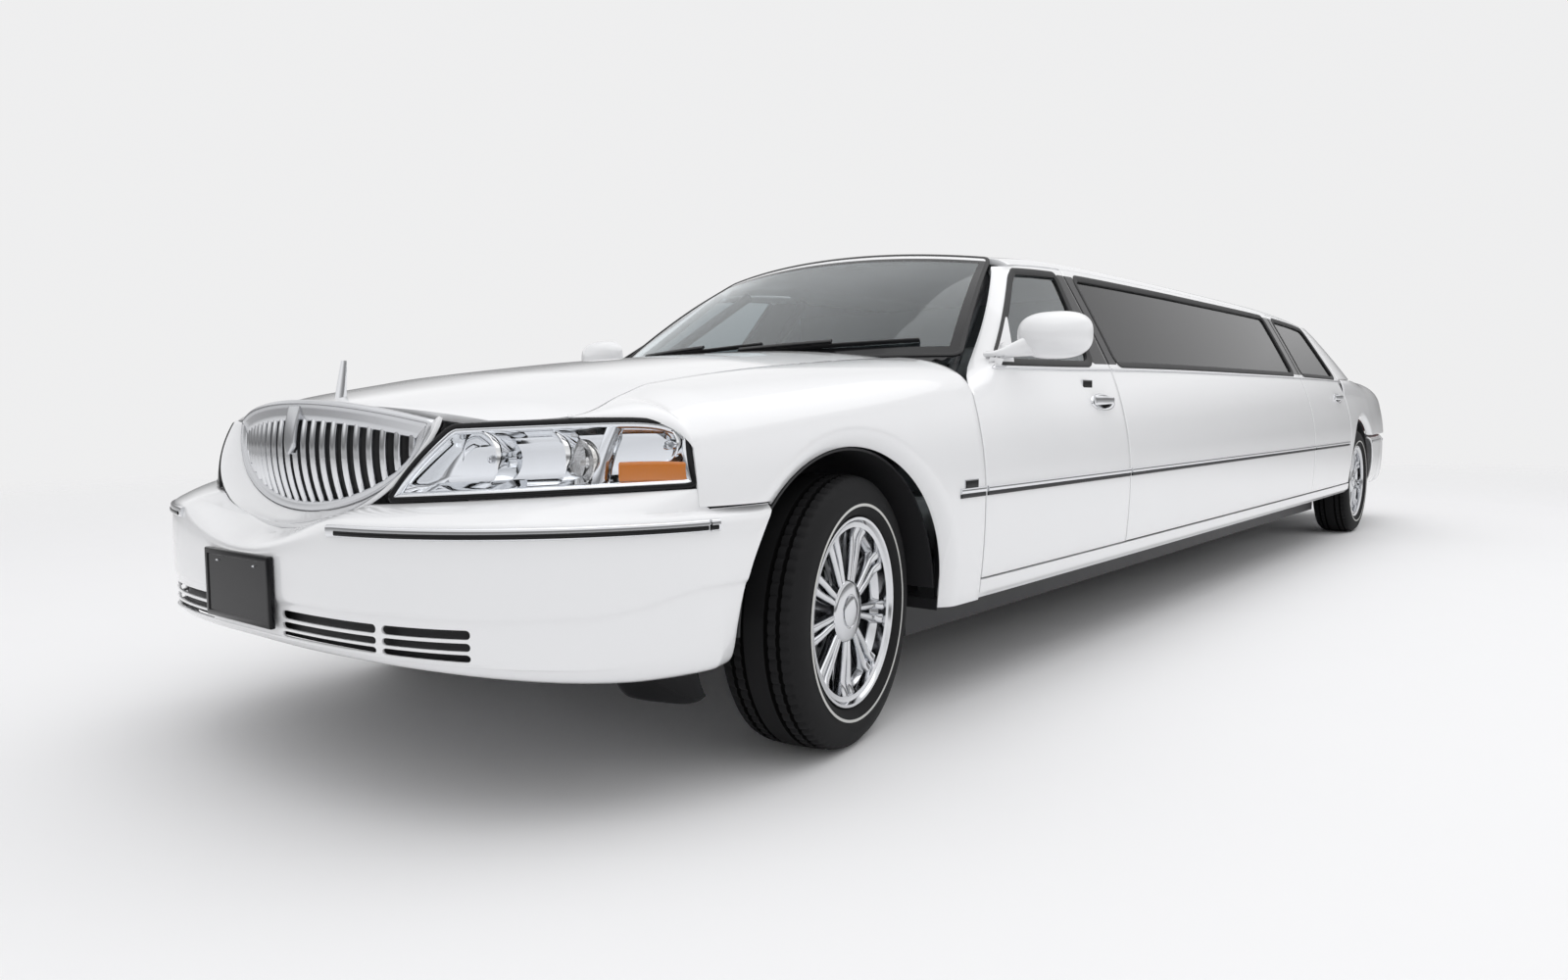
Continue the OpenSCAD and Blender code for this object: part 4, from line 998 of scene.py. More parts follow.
@dataclass(frozen=True)
class FrontEnd:
    """Bumper, lamps, grille, hood and fenders ahead of the doors."""

    grille_w: float = 437.0
    grille_h: float = 209.0
    grille_mid: float = 846.0
    grille_arch: float = 48.0
    bars: int = 21
    bar_pitch: float = 38.0
    bumper_top: float = 652.0
    strip_z: float = 622.0
    slot_rows: tuple[tuple[float, float], ...] = ((398, 418), (426, 446), (454, 474))
    slot_columns: tuple[tuple[float, float, float], ...] = ((0.46, 2.55, 0.08), (2.68, 4.6, 0.1))

    def dip(self, x: float) -> float:
        """Share of the bumper's dip below the grille at a half width."""
        return max(0.0, 1 - (x / 380) ** 2) ** 2

    def bumper_point(self, k: float, z: float) -> Point:
        """Point of the front bumper.

        Args:
            k: Steps of 7.5 degrees from the middle, 12 to 13 along the side.
            z: Height in the section table, and above its top on the ledge below the lamps.

        Returns:
            The point in millimetres.
        """
        if z > self.bumper_top:
            top = self.bumper_point(k, self.bumper_top)
            x = abs(top[0])
            low = self.grille_mid - (self.grille_h + 42) * math.sqrt(max(1 - (x / (self.grille_w + 42)) ** 2, 0))
            share = 1 - smooth(10.4, 11.4, abs(k))
            zt = lerp(top[2] + 2, max(min(low, 671 + 28 * (x - 392) / 514), top[2] + 2), share)
            end = (top[0], max(lerp(top[1], LINES.nose_y(x, zt), share), top[1] + 4), zt)
            return bezier(top, (top[0], lerp(top[1], end[1], 0.5), lerp(top[2], zt, 0.75)), end,
                          (z - self.bumper_top) / 48)
        a = math.radians(min(abs(k), 12) * 7.5)
        px = 946 * math.sin(a) ** 0.62 if a > 0 else 0.0
        py = FRONT_AXLE - 490 - (LINES.reach - 490) * max(math.cos(a), 0.0) ** 1.4
        f = min(abs(k) / 12, 1)
        dip = self.dip(px)
        back = BUMPER.at(z, 1) + 70 * dip * smooth(612, self.bumper_top, z)
        rise = 45 * smooth(9, 1, abs(k)) * smooth(470, 298, z)
        fall = (37 + 9 * smooth(0.5, 6, abs(k))) * smooth(318, 398, z) * smooth(590, 474, z) * smooth(11, 7, abs(k))
        p = (px - back * f * 0.7, py + back * (1 - f * 0.9), z + rise - fall - 50 * dip * smooth(545, 612, z))
        if abs(k) > 12:
            arch = math.sqrt(LINES.arch_r**2 - (max(z, LINES.hub_z) - LINES.hub_z) ** 2)
            q = (952 - LINES.bulge(z) - BUMPER.at(z, 1) * 0.7, FRONT_AXLE - arch - 12, z)
            t = abs(k) - 12
            p = tuple(lerp(m, n, t) for m, n in zip(p, q))
        return (math.copysign(p[0], k), p[1], p[2])

    def bumper(self) -> None:
        """Bumper shell with its intake slots, dark back and bright strips."""
        slots = [Opening(*sorted((s * k0, s * k1)), z0, z1, r, 9.0)
                 for s in (1, -1) for k0, k1, r in self.slot_columns for z0, z1 in self.slot_rows]
        half = spread(0, 0.1, 0.46, 2.55, 2.68, 4.6, 9, 12, 13, step=0.2)
        fine = sorted({round(k, 4) for k0, k1, r in self.slot_columns for d in (0.0, 0.3, 0.6, 1.0)
                       for k in (k0 + r * d, k1 - r * d)} | {round(k, 4) for k in half})
        zs = spread(298, 308, 332, 398, 418, 426, 446, 454, 474, 486, 494, 530, 575, 612, 640, 652, 700, step=6)
        shell = Panel("front_bumper_shell", self.bumper_point, [-k for k in reversed(fine[1:])] + fine, zs, 6.0,
                      slots, 2.0, (0, FRONT_AXLE, 480)).build()
        settle(dress(shell, Finishes.paint), "body", Slot.PAINT, "front_bumper")

        def behind(k: float, z: float) -> Point:
            x, y, zz = self.bumper_point(k, z)
            return x * 0.985, y + 24, zz

        back = Panel("intake_back", behind, spread(-6.6, 6.6, step=0.4), spread(380, 492, step=14), 3.0,
                     inside=(0, FRONT_AXLE, 480)).build()
        settle(dress(back, Finishes.plastic), "body", Slot.PLASTIC)

        def path(k: float) -> Point:
            return self.bumper_point(k, self.strip_z)

        def rub_path(k: float) -> Point:
            x, y, z = path(k)
            return x, y, z - 4

        def out(k: float) -> np.ndarray:
            a = np.subtract(path(k + 0.02), path(k - 0.02))
            n = np.array((-a[1], a[0], 0.0)) / math.hypot(a[0], a[1])
            return n if n[1] < 0.2 else -n

        bright = strip("bumper_bright", path, out, (26, 6.5), spread(1.55, 11.7, step=0.15))
        settle(dress(paired("bumper_bright", bright), Finishes.chrome), "body", Slot.CHROME)
        rub = strip("bumper_rub", rub_path, out, (12, 8.5), spread(1.75, 11.5, step=0.15))
        settle(dress(paired("bumper_rub", rub), Finishes.gloss_black), "body", Slot.PLASTIC)

    def splash(self) -> None:
        """Dark splash shields that hang below the bumper ahead of the front wheels."""
        def point(u: float, t: float) -> Point:
            z = lerp(300, 205 + 22 * abs(2 * u - 1) ** 6, t)
            return lerp(640, 862, u), FRONT_AXLE - 545 + 60 * u * u + 26 * t * t, z

        obj = Panel("splash_shield", point, spread(0, 1, step=0.05), spread(0, 1, step=0.1), 5.0,
                    inside=(740, FRONT_AXLE, 260)).build()
        settle(dress(paired("splash_shields", obj), Finishes.gloss_black), "body", Slot.PLASTIC)

    def plate(self) -> None:
        """Blank plate holder with its two screws."""
        low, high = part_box("plate_holder")
        obj = block("blank_plate_holder", (low + high) / 2, high - low)
        modify(obj, "BEVEL", width=4 * MM, segments=3)
        pick_faces(obj, lambda p: p.normal.y < -0.99 and p.area > 0.02,
                   lambda: bpy.ops.mesh.inset(thickness=9 * MM, depth=0),
                   lambda: bpy.ops.mesh.inset(thickness=2 * MM, depth=-2.5 * MM))
        settle(dress(shade(obj), Finishes.gloss_black), "body", Slot.PLASTIC, "plate_holder")
        for side in Side:
            head = [(0, 3.0), (2.2, 3.0), (2.4, 2.2), (5.4, 1.6), (6.8, 0)]
            screw = turned(f"plate_screw_{side.name.lower()}", head, 24)
            spot = Matrix.Translation(Vector((side.value * 89, FRONT_AXLE - 1087, 528)) * MM)
            screw.data.transform(spot @ Matrix.Rotation(math.radians(90), 4, "X"))
            settle(dress(screw, Finishes.satin), "body", Slot.CHROME)

    def grille_path(self, count: int = 240) -> tuple[np.ndarray, np.ndarray]:
        """Outline of the grille's opening.

        Args:
            count: Number of points.

        Returns:
            Points as half width and height, and their outward directions.
        """
        w, h = self.grille_w, self.grille_h
        below = [(w * math.cos(a), self.grille_mid - h * math.sin(a)) for a in np.linspace(0, math.pi, 90)]
        above = [(x * w, self.grille_mid + self.grille_arch * (1 - x * x)) for x in np.linspace(-0.97, 0.97, 70)]
        pts = np.array(below + above)
        for _ in range(3):
            nxt = np.roll(pts, -1, axis=0)
            pts = np.stack([pts * 0.75 + nxt * 0.25, pts * 0.25 + nxt * 0.75], axis=1).reshape(-1, 2)
        gaps = np.linalg.norm(np.roll(pts, -1, axis=0) - pts, axis=1)
        where = np.concatenate([[0], np.cumsum(gaps)])
        closed = np.vstack([pts, pts[:1]])
        even = np.linspace(0, where[-1], count, endpoint=False)
        pts = np.stack([np.interp(even, where, closed[:, c]) for c in range(2)], axis=1)
        ahead = np.roll(pts, -2, axis=0) - np.roll(pts, 2, axis=0)
        out = np.stack([-ahead[:, 1], ahead[:, 0]], axis=1) / np.linalg.norm(ahead, axis=1)[:, None]
        middle = np.array((0.0, self.grille_mid - 40))
        out *= np.sign(np.sum(out * (pts - middle), axis=1))[:, None]
        return pts, out

    def grille_y(self, x: float, z: float) -> float:
        """Station of the grille's face at a half width and a height."""
        return FRONT_AXLE - 958 + 91 * (x / self.grille_w) ** 2 + 0.0015 * (z - 775) ** 2

    def band(self, z: float) -> float:
        """Width of the ring's flat band at a height."""
        return lerp(20, 46, smooth(730, 850, z))

    def grille(self) -> None:
        """Bright ring with its plain middle post, upright bars, and a dark sheet behind the bars that is painted shade
        for the space behind the grille.
        """
        pts, out = self.grille_path()
        count = len(pts)
        last = len(RING)

        def ring(u: float, t: float) -> Point:
            i = round(u) % count
            share, deep = RING[round(t * last) % last]
            x, z = pts[i] + out[i] * lerp(3, -self.band(pts[i][1]), share)
            return x, self.grille_y(x, z) + deep, z

        def post(z: float, t: float) -> Point:
            c, s = on_circle(t)
            half = lerp(19, 27, (z - 770) / 110) * math.sqrt(min((z - 768) / 18, 1))
            return half * rounded(c, 0.5), self.grille_y(0, z) + 8 - 9 * rounded(s, 0.5), z

        obj = shade(tube("grille_bright_ring", ring, list(range(count + 1)), last, ring=True), 60)
        middle = shade(tube("grille_post", post, spread(769, 772, 778, 786, 882, step=12), 24), 60)
        settle(dress(joined("grille_bright_ring", obj, middle), Finishes.satin), "hood", Slot.CHROME, "grille_ring")
        bars = [self.bar(k - self.bars // 2) for k in range(self.bars)]
        settle(dress(joined("grille_upright_bars", *bars), Finishes.chrome), "hood", Slot.CHROME, "grille_bars")

        # Dark sheet behind the bars: painted shade for the shaded space behind the grille.
        def deep(u: float, r: float) -> Point:
            i = round(u) % count
            x, z = pts[i][0] * r, lerp(self.grille_mid - 50, pts[i][1], r)
            return x, self.grille_y(x, z) + 40, z

        back = lay_grid("grille_shade_sheet", deep, list(range(0, count + 1, 4)), [0.02, 0.25, 0.5, 0.75, 0.98])
        edit(back, lambda: bpy.ops.mesh.remove_doubles(threshold=2e-5))
        face_out(back, (0, FRONT_AXLE, 800))
        settle(dress(thicken(back, 3.0, 0), Finishes.plastic), "hood", Slot.PLASTIC)

    def bar(self, k: int) -> Piece:
        """One upright bar of the grille."""
        x = k * self.bar_pitch
        w = self.grille_w - 16
        z0 = self.grille_mid - (self.grille_h - 16) * math.sqrt(max(1 - (min(abs(x) + 7, w) / w) ** 2, 0))
        z1 = self.grille_mid - 42 + self.grille_arch * (1 - (x / self.grille_w) ** 2)
        half = 8.5

        def point(z: float, t: float) -> Point:
            c, s = on_circle(t)
            across = rounded(c, 0.8) * half
            deep = rounded(s, 0.8) * 9
            return x + across, self.grille_y(x, z) + 21 - deep, z

        return shade(tube(f"grille_bar_{k}", point, spread(z0, z1, step=18), 14), 60)

    def lamp_in(self, z: float) -> float:
        """Half width of the headlamp's inner edge at a height."""
        return lerp(392, 505, (z - 676) / 162)

    def nose(self) -> None:
        """Painted strip below and beside the grille."""
        pts, out = self.grille_path(360)
        keep = [i for i in range(len(pts)) if pts[i][1] < self.grille_mid - 3]
        first = next(n for n in range(len(keep)) if keep[n] - keep[n - 1] != 1)
        order = keep[first:] + keep[:first]

        def point(u: float, e: float) -> Point:
            i = order[round(u)]
            x, z = pts[i] + out[i] * e
            limit = self.lamp_in(max(z, 676)) - lerp(9, 5, e / 34)
            x = math.copysign(min(abs(x), limit), x)
            z = max(z, 659 - 50 * self.dip(x))
            return x, lerp(self.grille_y(x, z), LINES.nose_y(x, z), (e - 3) / 31), z

        obj = Panel("nose_strip", point, list(range(len(order))), [3, 8, 14, 20, 27, 34], 10.0,
                    inside=(0, FRONT_AXLE - 500, 800)).build()
        settle(dress(obj, Finishes.paint), "hood", Slot.PAINT, "nose_panel")

    def hood_half(self, y: float) -> float:
        """Half width of the hood at a station."""
        nose = 905 * (max(y - FRONT_AXLE + 929, 1) / 455) ** (1 / 3)
        return min(FRONT.at(y, 3), nose) - LINES.shut

    def hood_point(self, k: float, t: float) -> Point:
        """Point of the hood: k from -1 to 1 across, t from 0 at the front to 1."""
        s = math.sin(k * math.pi / 2)
        y = lerp(FRONT_AXLE - 915 + 106 * s * s, FRONT_AXLE + 533, t)
        zg, zc = FRONT.at(y, 4), FRONT.at(y, 5)
        return self.hood_half(y) * s, y, crowned(zg, zc, s)

    def hood(self) -> None:
        """Hood with its bare ornament blade."""
        ts = spread(0, 0.03, 0.12, 1, step=0.02)
        obj = Panel("hood_skin", self.hood_point, spread(-1, 1, step=0.04), ts, 18.0, edge=3.0,
                    inside=(0, FRONT_AXLE, 600)).build()
        settle(dress(obj, Finishes.paint), "hood", Slot.PAINT, "hood")

        def blade(z: float, t: float) -> Point:
            f = (z - 900) / 92
            c, s = on_circle(t)
            return lerp(8, 4, f) * c, FRONT_AXLE - 822 + 12 * f + s * lerp(15, 7, f), z

        blade_obj = shade(tube("hood_blade", blade, spread(900, 992, step=8), 18), 60)
        settle(dress(blade_obj, Finishes.chrome), "hood", Slot.CHROME)

    def fender_point(self, y: float, v: float) -> Point:
        """Point of the fender behind the headlamp: v 0 to 1 up the side, 1 to 2 over to the hood."""
        rel = y - FRONT_AXLE
        if rel < -300:
            z0 = LINES.over_bumper
        elif rel > LINES.arch_r - 0.5:
            z0 = LINES.sill_z
        else:
            z0 = LINES.arch_z(y, FRONT_AXLE)
        x, z = LINES.shoulder(FRONT, y, z0, v)
        return x - LINES.tuck(y, z, FRONT_AXLE), y, z

    def lamp_point(self, u: float, v: float) -> Point:
        """Point of the headlamp's face: u from its inner end, v from its lower edge."""
        z = lerp(lerp(676, 704, u), lerp(838, 855, u) - 44 * u**13, v)
        x = lerp(lerp(392, 505, v), lerp(906, 884, v), u)
        return x, LINES.nose_y(x, z), z

    def fender_nose(self, s: float, v: float) -> Point:
        """Point of the fender over the headlamp: s from its front tip, v as on the main fender."""
        y1, v0 = FRONT_AXLE - 527, 0.9
        m0, m1, m = (np.array(self.fender_point(y1, w)) for w in (v0, 2.0, v))
        chord = m1 - m0
        along = float(np.dot(m - m0, chord) / np.dot(chord, chord))
        bulge = m - m0 - chord * along
        u = lerp(0.53, 1.0, s)
        a = np.array(self.lamp_point(u, 1.0)) + (0, 0, 5) * np.array(1 - s)
        a = a + (m0 - np.array(self.lamp_point(1.0, 1.0))) * s**4
        yb = lerp(FRONT_AXLE - 715, y1, s)
        b = np.array((FRONT.at(yb, 3), yb, FRONT.at(yb, 4)))
        size = float(np.linalg.norm(b - a) / np.linalg.norm(chord))
        return tuple(a + (b - a) * along + bulge * size)

    def fenders(self) -> None:
        """Both front fenders, each with its part over the headlamp."""
        arch = [FRONT_AXLE + LINES.arch_r * math.sin(math.radians(a)) for a in spread(-45, 87, step=3)]
        ys = spread(FRONT_AXLE - 527, FRONT_AXLE - 310, step=20) + arch
        ys += [FRONT_AXLE + LINES.arch_r] + spread(FRONT_AXLE + 430, FRONT_AXLE + 603, step=24)
        vs = spread(0, 0.9, 1, 2, step=0.05)
        main = lay_grid("front_fender", self.fender_point, ys, vs)
        nose = lay_grid("fender_nose", self.fender_nose, spread(0.02, 1, step=0.04), [v for v in vs if v > 0.899])
        obj = joined("front_fender", main, nose)
        face_out(weld(obj, 2e-4), (0, FRONT_AXLE, 600))
        thicken(obj, 7.0)
        settle(dress(paired("front_fender_skins", obj), Finishes.paint), "body", Slot.PAINT, "front_fenders")

    def lamp_tub(self, a: float, b: float) -> Point:
        """Point of the silvered tub behind the lens: a along it and b up, each from 0 to 1."""
        x, y, z = self.lamp_point(lerp(0.012, 0.988, a), lerp(0.03, 0.97, b))
        deep = smooth(0, 0.07, min(a, 1 - a)) * smooth(0, 0.22, min(b, 1 - b))
        return x, y + 5 + 62 * deep, z

    def bowl(self, name: str, spot: Sequence[float]) -> Piece:
        """Round reflector in a headlamp.

        Args:
            name: Name of the piece.
            spot: Half width, height, radius and depth of the reflector.

        Returns:
            The closed reflector with its bulb, open to the front.
        """
        x, z, radius, depth = spot
        front = LINES.nose_y(x + radius * 0.9, z) + 5
        profile = [(26, 0), (24, 7), (18, 9), (6, 9), (3, 12)]
        profile += [(depth * (r / radius) ** 2, r) for r in np.linspace(14, radius - 2, 9)]
        profile += [(depth + 5, radius), (depth + 3, radius + 2), (0, radius + 2), (-4, radius * 0.6), (-6, 0)]
        obj = turned(name, profile, 48)
        obj.data.transform(Matrix.Translation(Vector((x, front + depth, z)) * MM)
                           @ Matrix.Rotation(math.radians(90), 4, "X"))
        return obj

    def lamps(self) -> None:
        """Headlamps: tub, round reflectors, divider, amber lamp, seal, bezel and clear lens."""
        tub = lay_grid("headlamp_tub", self.lamp_tub, spread(0, 1, step=0.02), spread(0, 1, step=0.04))
        face_out(tub, (0, FRONT_AXLE, 760))
        modify(tub, "SOLIDIFY", thickness=2 * MM, offset=-1.0)
        pieces = [shade(tub)]
        for k, spot in enumerate(((560, 764, 60, 44), (668, 766, 62, 46), (838, 792, 36, 22))):
            pieces.append(self.bowl(f"headlamp_bowl_{k}", spot))

        def divider(z: float, t: float) -> Point:
            c, s = on_circle(t)
            x = lerp(768, 772, (z - 690) / 150) + 7 * rounded(c, 0.5)
            return x, LINES.nose_y(x, z) + 24 - 16 * rounded(s, 0.5), z

        pieces.append(shade(tube("headlamp_divider", divider, spread(702, 832, step=13), 16), 50))
        silver = paired("headlamp_reflectors", joined("headlamp_reflectors", *pieces))
        settle(dress(silver, Finishes.reflector), "body", Slot.REFLECTOR, "headlamp_housings")
        glow = paired("headlamp_round_lens", self.bowl("headlamp_round_lens", (724, 758, 46, 12)))
        settle(dress(glow, Finishes.fluted), "body", Slot.REFLECTOR)

        def amber(u: float, t: float) -> Point:
            c, s = on_circle(t)
            x, y, z = self.lamp_point(u, 0.26)
            return x, y + 16 - 8 * rounded(c, 0.5), z + 21 * rounded(s, 0.4)

        side = shade(tube("corner_amber", amber, spread(0.79, 0.975, step=0.015), 20), 50)
        settle(dress(paired("corner_amber", side), Finishes.amber), "body", Slot.REFLECTOR)
        edge = Opening(0.004, 0.996, 0.012, 0.988, 0.03, 0.08)
        seal = ((-7, -6), (-7, 0.5), (-4, 2.2), (3.5, 2.2), (5, 0.5), (5, -6))
        bezel = ((-16, -12), (-15, -6), (-12, -3), (-7, -2), (-7, -12))
        rings = (("seal", seal, Finishes.gloss_black, Slot.PLASTIC),
                 ("bezel", bezel, Finishes.reflector, Slot.REFLECTOR))
        for word, section, finish, slot in rings:
            ring = EdgeRing(f"headlamp_{word}", self.lamp_point, edge, section, 0.01, 0.02).build(220)
            settle(dress(paired(ring.name, ring), finish), "body", slot)
        lens = lay_grid("headlamp_lens", self.lamp_point, spread(0.006, 0.994, step=0.02),
                        spread(0.02, 0.98, step=0.06))
        face_out(lens, (0, FRONT_AXLE, 760))
        modify(lens, "SOLIDIFY", thickness=3 * MM, offset=-1.0)
        settle(dress(paired("headlamp_lens_skins", shade(lens)), Finishes.lens), "body", Slot.LENS, "headlamp_lenses")

    def build(self) -> None:
        """Builds the front end."""
        self.bumper()
        self.splash()
        self.plate()
        self.grille()
        self.nose()
        self.hood()
        self.fenders()
        self.lamps()


SEAL = ((-15, -9), (-15, -2), (-6, 1.6), (8, 2.2), (12, 1.6), (13, 0.2), (13, -3))


@dataclass(frozen=True)
class Cabin:
    """Doors, long panels, roof, glass and the trim along the sides."""

    front_window: Opening = Opening(0.25, 0.875, 1.03, 2.0, 0.045, 0.12)
    long_window: Opening = Opening(0.1, 0.9, 1.03, 2.0, 0.013, 0.12)
    rear_window: Opening = Opening(0.125, 0.875, 1.03, 2.0, 0.045, 0.12)
    door_wall: float = 26.0
    door_top: float = 2.245
    wall_top: float = 2.318
    roof_low: float = 2.325
    trim_z: float = 627.0
    trim_span: tuple[float, float] = (FRONT_AXLE + 463, FRONT_AXLE + 5478)

    def front_edge(self, v: float) -> float:
        """Station of the front door's front edge."""
        y0 = LINES.front_door[0]
        if v <= 0.86:
            return y0
        if v <= 1:
            return lerp(y0, FRONT_AXLE + 806, ((v - 0.86) / 0.14) ** 1.5)
        if v <= 2:
            return lerp(FRONT_AXLE + 806, FRONT_AXLE + 1250, v - 1)
        return lerp(FRONT_AXLE + 1250, FRONT_AXLE + 1335, v - 2)

    def front_y(self, u: float, v: float) -> float:
        """Station of a point of the front door."""
        a, g = self.front_edge(v), max(v - 1, 0)
        b = LINES.front_door[1] + 50 * g - LINES.shut
        w0, w1 = lerp(FRONT_AXLE + 792, FRONT_AXLE + 1302, g), lerp(FRONT_AXLE + 1560, FRONT_AXLE + 1690, g)
        t = u * 8
        if t <= 2:
            return lerp(a, w0, t / 2)
        return lerp(w1, b, t - 7) if t >= 7 else lerp(w0, w1, (t - 2) / 5)

    def front_point(self, u: float, v: float) -> Point:
        """Point of the front door: u from its front edge, v up its section."""
        y = self.front_y(u, v)
        x, z = LINES.cabin(y, v)
        if v > 0.86:
            f = max(0.0, 1 - u * 5) ** 1.5 * min(1.0, (v - 0.86) / 0.14)
            x = lerp(x, min(SHIELD.at(z, 1) + 12, x), f)
        return x, y, z

    def long_point(self, u: float, v: float) -> Point:
        """Point of the long panel between the doors."""
        g = max(v - 1, 0)
        a = LINES.front_door[1] + 50 * g
        b = LINES.rear_door[0] + 80 * g - LINES.shut
        t = u * 10
        if t <= 1:
            y = lerp(a, a + 80, t)
        else:
            y = lerp(b - 110, b, t - 9) if t >= 9 else lerp(a + 80, b - 110, (t - 1) / 8)
        x, z = LINES.cabin(y, v)
        return x, y, z

    def rear_end(self, v: float) -> float:
        """Station of the rear door's rear edge."""
        return LINES.rear_door[1] - 96 * max(v - 1, 0) - LINES.shut

    def rear_point(self, u: float, v: float) -> Point:
        """Point of the rear door: u from its front edge, v up its section."""
        a, b = LINES.rear_door[0] + 80 * max(v - 1, 0), self.rear_end(v)
        w0, w1, t = a + 70, b - 75, u * 8
        if t <= 1:
            y = lerp(a, w0, t)
        else:
            y = lerp(w1, b, t - 7) if t >= 7 else lerp(w0, w1, (t - 1) / 6)
        x, z = LINES.cabin(y, v)
        return x, y, z

    def side_panel(self, name: str, surface: Surface, window: Opening, top: float, step: float, wall: float,
                   dark: Callable[[float, float], bool]) -> Piece:
        """Makes a door or long panel of the left side.

        Args:
            name: Name of the piece.
            surface: Its outer surface.
            window: Its window.
            top: Section value of its upper edge.
            step: Distance of the columns in u.
            wall: Thickness.
            dark: True where its skin is black trim.

        Returns:
            The panel, with paint and black trim.
        """
        us = stops(0, 1, step, (window.u0, window.ru), (window.u1, -window.ru))
        vs = stops(0, top, 0.045, (window.v0, window.rv), (window.v1, -window.rv))
        middle = surface(0.5, 0.5)
        obj = Panel(name, surface, us, vs, wall, (window,), 2.0, (0, middle[1], 800),
                    lambda u, v: int(dark(u, v) and window.v0 < v < window.v1)).build()
        return dress(obj, Finishes.paint, Finishes.gloss_black)

    def doors(self) -> None:
        """The four doors with their glass, seals and handles."""
        kinds = (
            ("front", self.front_point, self.front_window, lambda u, v: u > 0.875, Finishes.windshield,
             FRONT_AXLE + 1535, 886),
            ("rear", self.rear_point, self.rear_window, lambda u, v: u < 0.125, Finishes.tinted,
             FRONT_AXLE + 5317, 915))
        for kind, surface, window, dark, clear, handle_y, handle_z in kinds:
            skin = self.side_panel(f"{kind}_door_skin", surface, window, self.door_top, 0.02, self.door_wall, dark)
            seal = EdgeRing(f"{kind}_door_seal", surface, window, SEAL).build()
            pane = glass_sheet(f"{kind}_door_pane", surface, window, 9.0, (0.01, 0.03), (24, 12))
            handle = self.handle(f"{kind}_door_handle", handle_y, handle_z)
            finished = ((skin, None, Slot.PAINT, "door"), (seal, Finishes.rubber, Slot.PLASTIC, ""),
                        (pane, clear, Slot.TINTED, "glass"), (handle, None, Slot.PAINT, ""))
            for obj, finish, slot, node in finished:
                if finish is not None:
                    dress(obj, finish)
                self.share(obj, f"{kind}_door", slot, f"{kind}_{node}" if node else "")

    def handle(self, name: str, y: float, z: float) -> Piece:
        """Pull handle in an oval bright cup whose middle is painted black as painted shade in its recess.

        Args:
            name: Name of the piece.
            y: Station of its middle.
            z: Height of its middle.

        Returns:
            The closed handle.
        """
        long, high = 104, 31

        def cup(a: float, r: float) -> Point:
            yy, zz = y + long * r * math.cos(a), z + high * r * math.sin(a)
            return LINES.side_x(yy, zz) + 1 + 5 * smooth(0.5, 0.8, r) * smooth(1.0, 0.92, r), yy, zz

        def pull(u: float, t: float) -> Point:
            c, s = on_circle(t)
            yy = y - 8 + u * 78
            x = LINES.side_x(yy, z) + 6 + 18 * (1 - u**4) + 6 * rounded(c, 0.6)
            return x, yy, z + 6 + lerp(17, 11, u / 2 + 0.5) * rounded(s, 0.6)

        rows = [0.01, 0.3, 0.5, 0.6, 0.7, 0.8, 0.88, 0.93, 0.97, 1]
        base = lay_grid(name, cup, spread(0, 2 * math.pi, step=0.1), rows)
        edit(base, lambda: bpy.ops.mesh.remove_doubles(threshold=2e-5))
        thicken(face_out(base, (0, y, z)), 2.0, 0)
        # The middle of the cup is painted black: painted shade in the recess behind the pull; the rim stays chrome.
        for polygon in base.data.polygons:
            spot = polygon.center / MM
            polygon.material_index = int(math.hypot((spot.y - y) / long, (spot.z - z) / high) < 0.7)
        bar = shade(tube(name + "_pull", pull, spread(-1, 1, step=0.08), 18), 60)
        return joined(name, dress(base, Finishes.chrome, Finishes.gloss_black), dress(bar, Finishes.chrome))

    def long_panels(self) -> None:
        """Panels between the doors with their long panes."""
        skin = self.side_panel("long_panel_skin", self.long_point, self.long_window, self.wall_top, 0.012, 18.0,
                               lambda u, v: u < 0.1 or u > 0.9)
        settle(paired("long_panel_skins", skin), "body", Slot.PAINT, "long_panels")
        seal = EdgeRing("long_window_seal", self.long_point, self.long_window, SEAL, 0.002).build(260)
        settle(dress(paired("long_window_seals", seal), Finishes.rubber), "body", Slot.PLASTIC)
        pane = glass_sheet("long_window_pane", self.long_point, self.long_window, 9.0, (0.004, 0.03), (60, 12))
        settle(dress(paired("long_window_panes", pane), Finishes.tinted), "body", Slot.TINTED, "long_windows")

    def spans(self) -> list[tuple[str, float, float]]:
        """Bodies along the side with the stretch of each, front to rear."""
        gap = 5.0
        d0, d1, r0, r1 = *LINES.front_door, *LINES.rear_door
        return [("body", self.trim_span[0], d0 - gap - 6), ("front_door", d0 + gap, d1 - LINES.shut - gap),
                ("body", d1 + gap, r0 - LINES.shut - gap), ("rear_door", r0 + gap, self.trim_span[1])]

    def trim(self) -> None:
        """Bright moulding with a dark lower edge along the waist, and the bright belt strip."""
        for k, (body, y0, y1) in enumerate(self.spans()):
            ys = spread(y0, y1, step=60)
            rows = ((self.trim_z + 6, 17.0, 7.0, Finishes.chrome, Slot.CHROME, "bright"),
                    (self.trim_z - 8, 12.0, 5.5, Finishes.plastic, Slot.PLASTIC, "dark"))
            for z, height, proud, finish, slot, word in rows:
                obj = strip(f"side_{word}_{k}", lambda y, z=z: (LINES.side_x(y, z), y, z), lambda y: (1, 0, 0),
                            (height, proud), ys)
                self.share(dress(obj, finish), body, slot)
        belts = (("front_door", self.front_point, 0.17, 0.99), ("body", self.long_point, 0.003, 0.997),
                 ("rear_door", self.rear_point, 0.01, 0.99))
        for k, (body, surface, u0, u1) in enumerate(belts):
            obj = strip(f"belt_bright_{k}", lambda u, f=surface: f(u, 0.985), lambda u: (0.93, 0, 0.37), (11, 5),
                        spread(u0, u1, step=0.02))
            self.share(dress(obj, Finishes.chrome), body, Slot.CHROME)

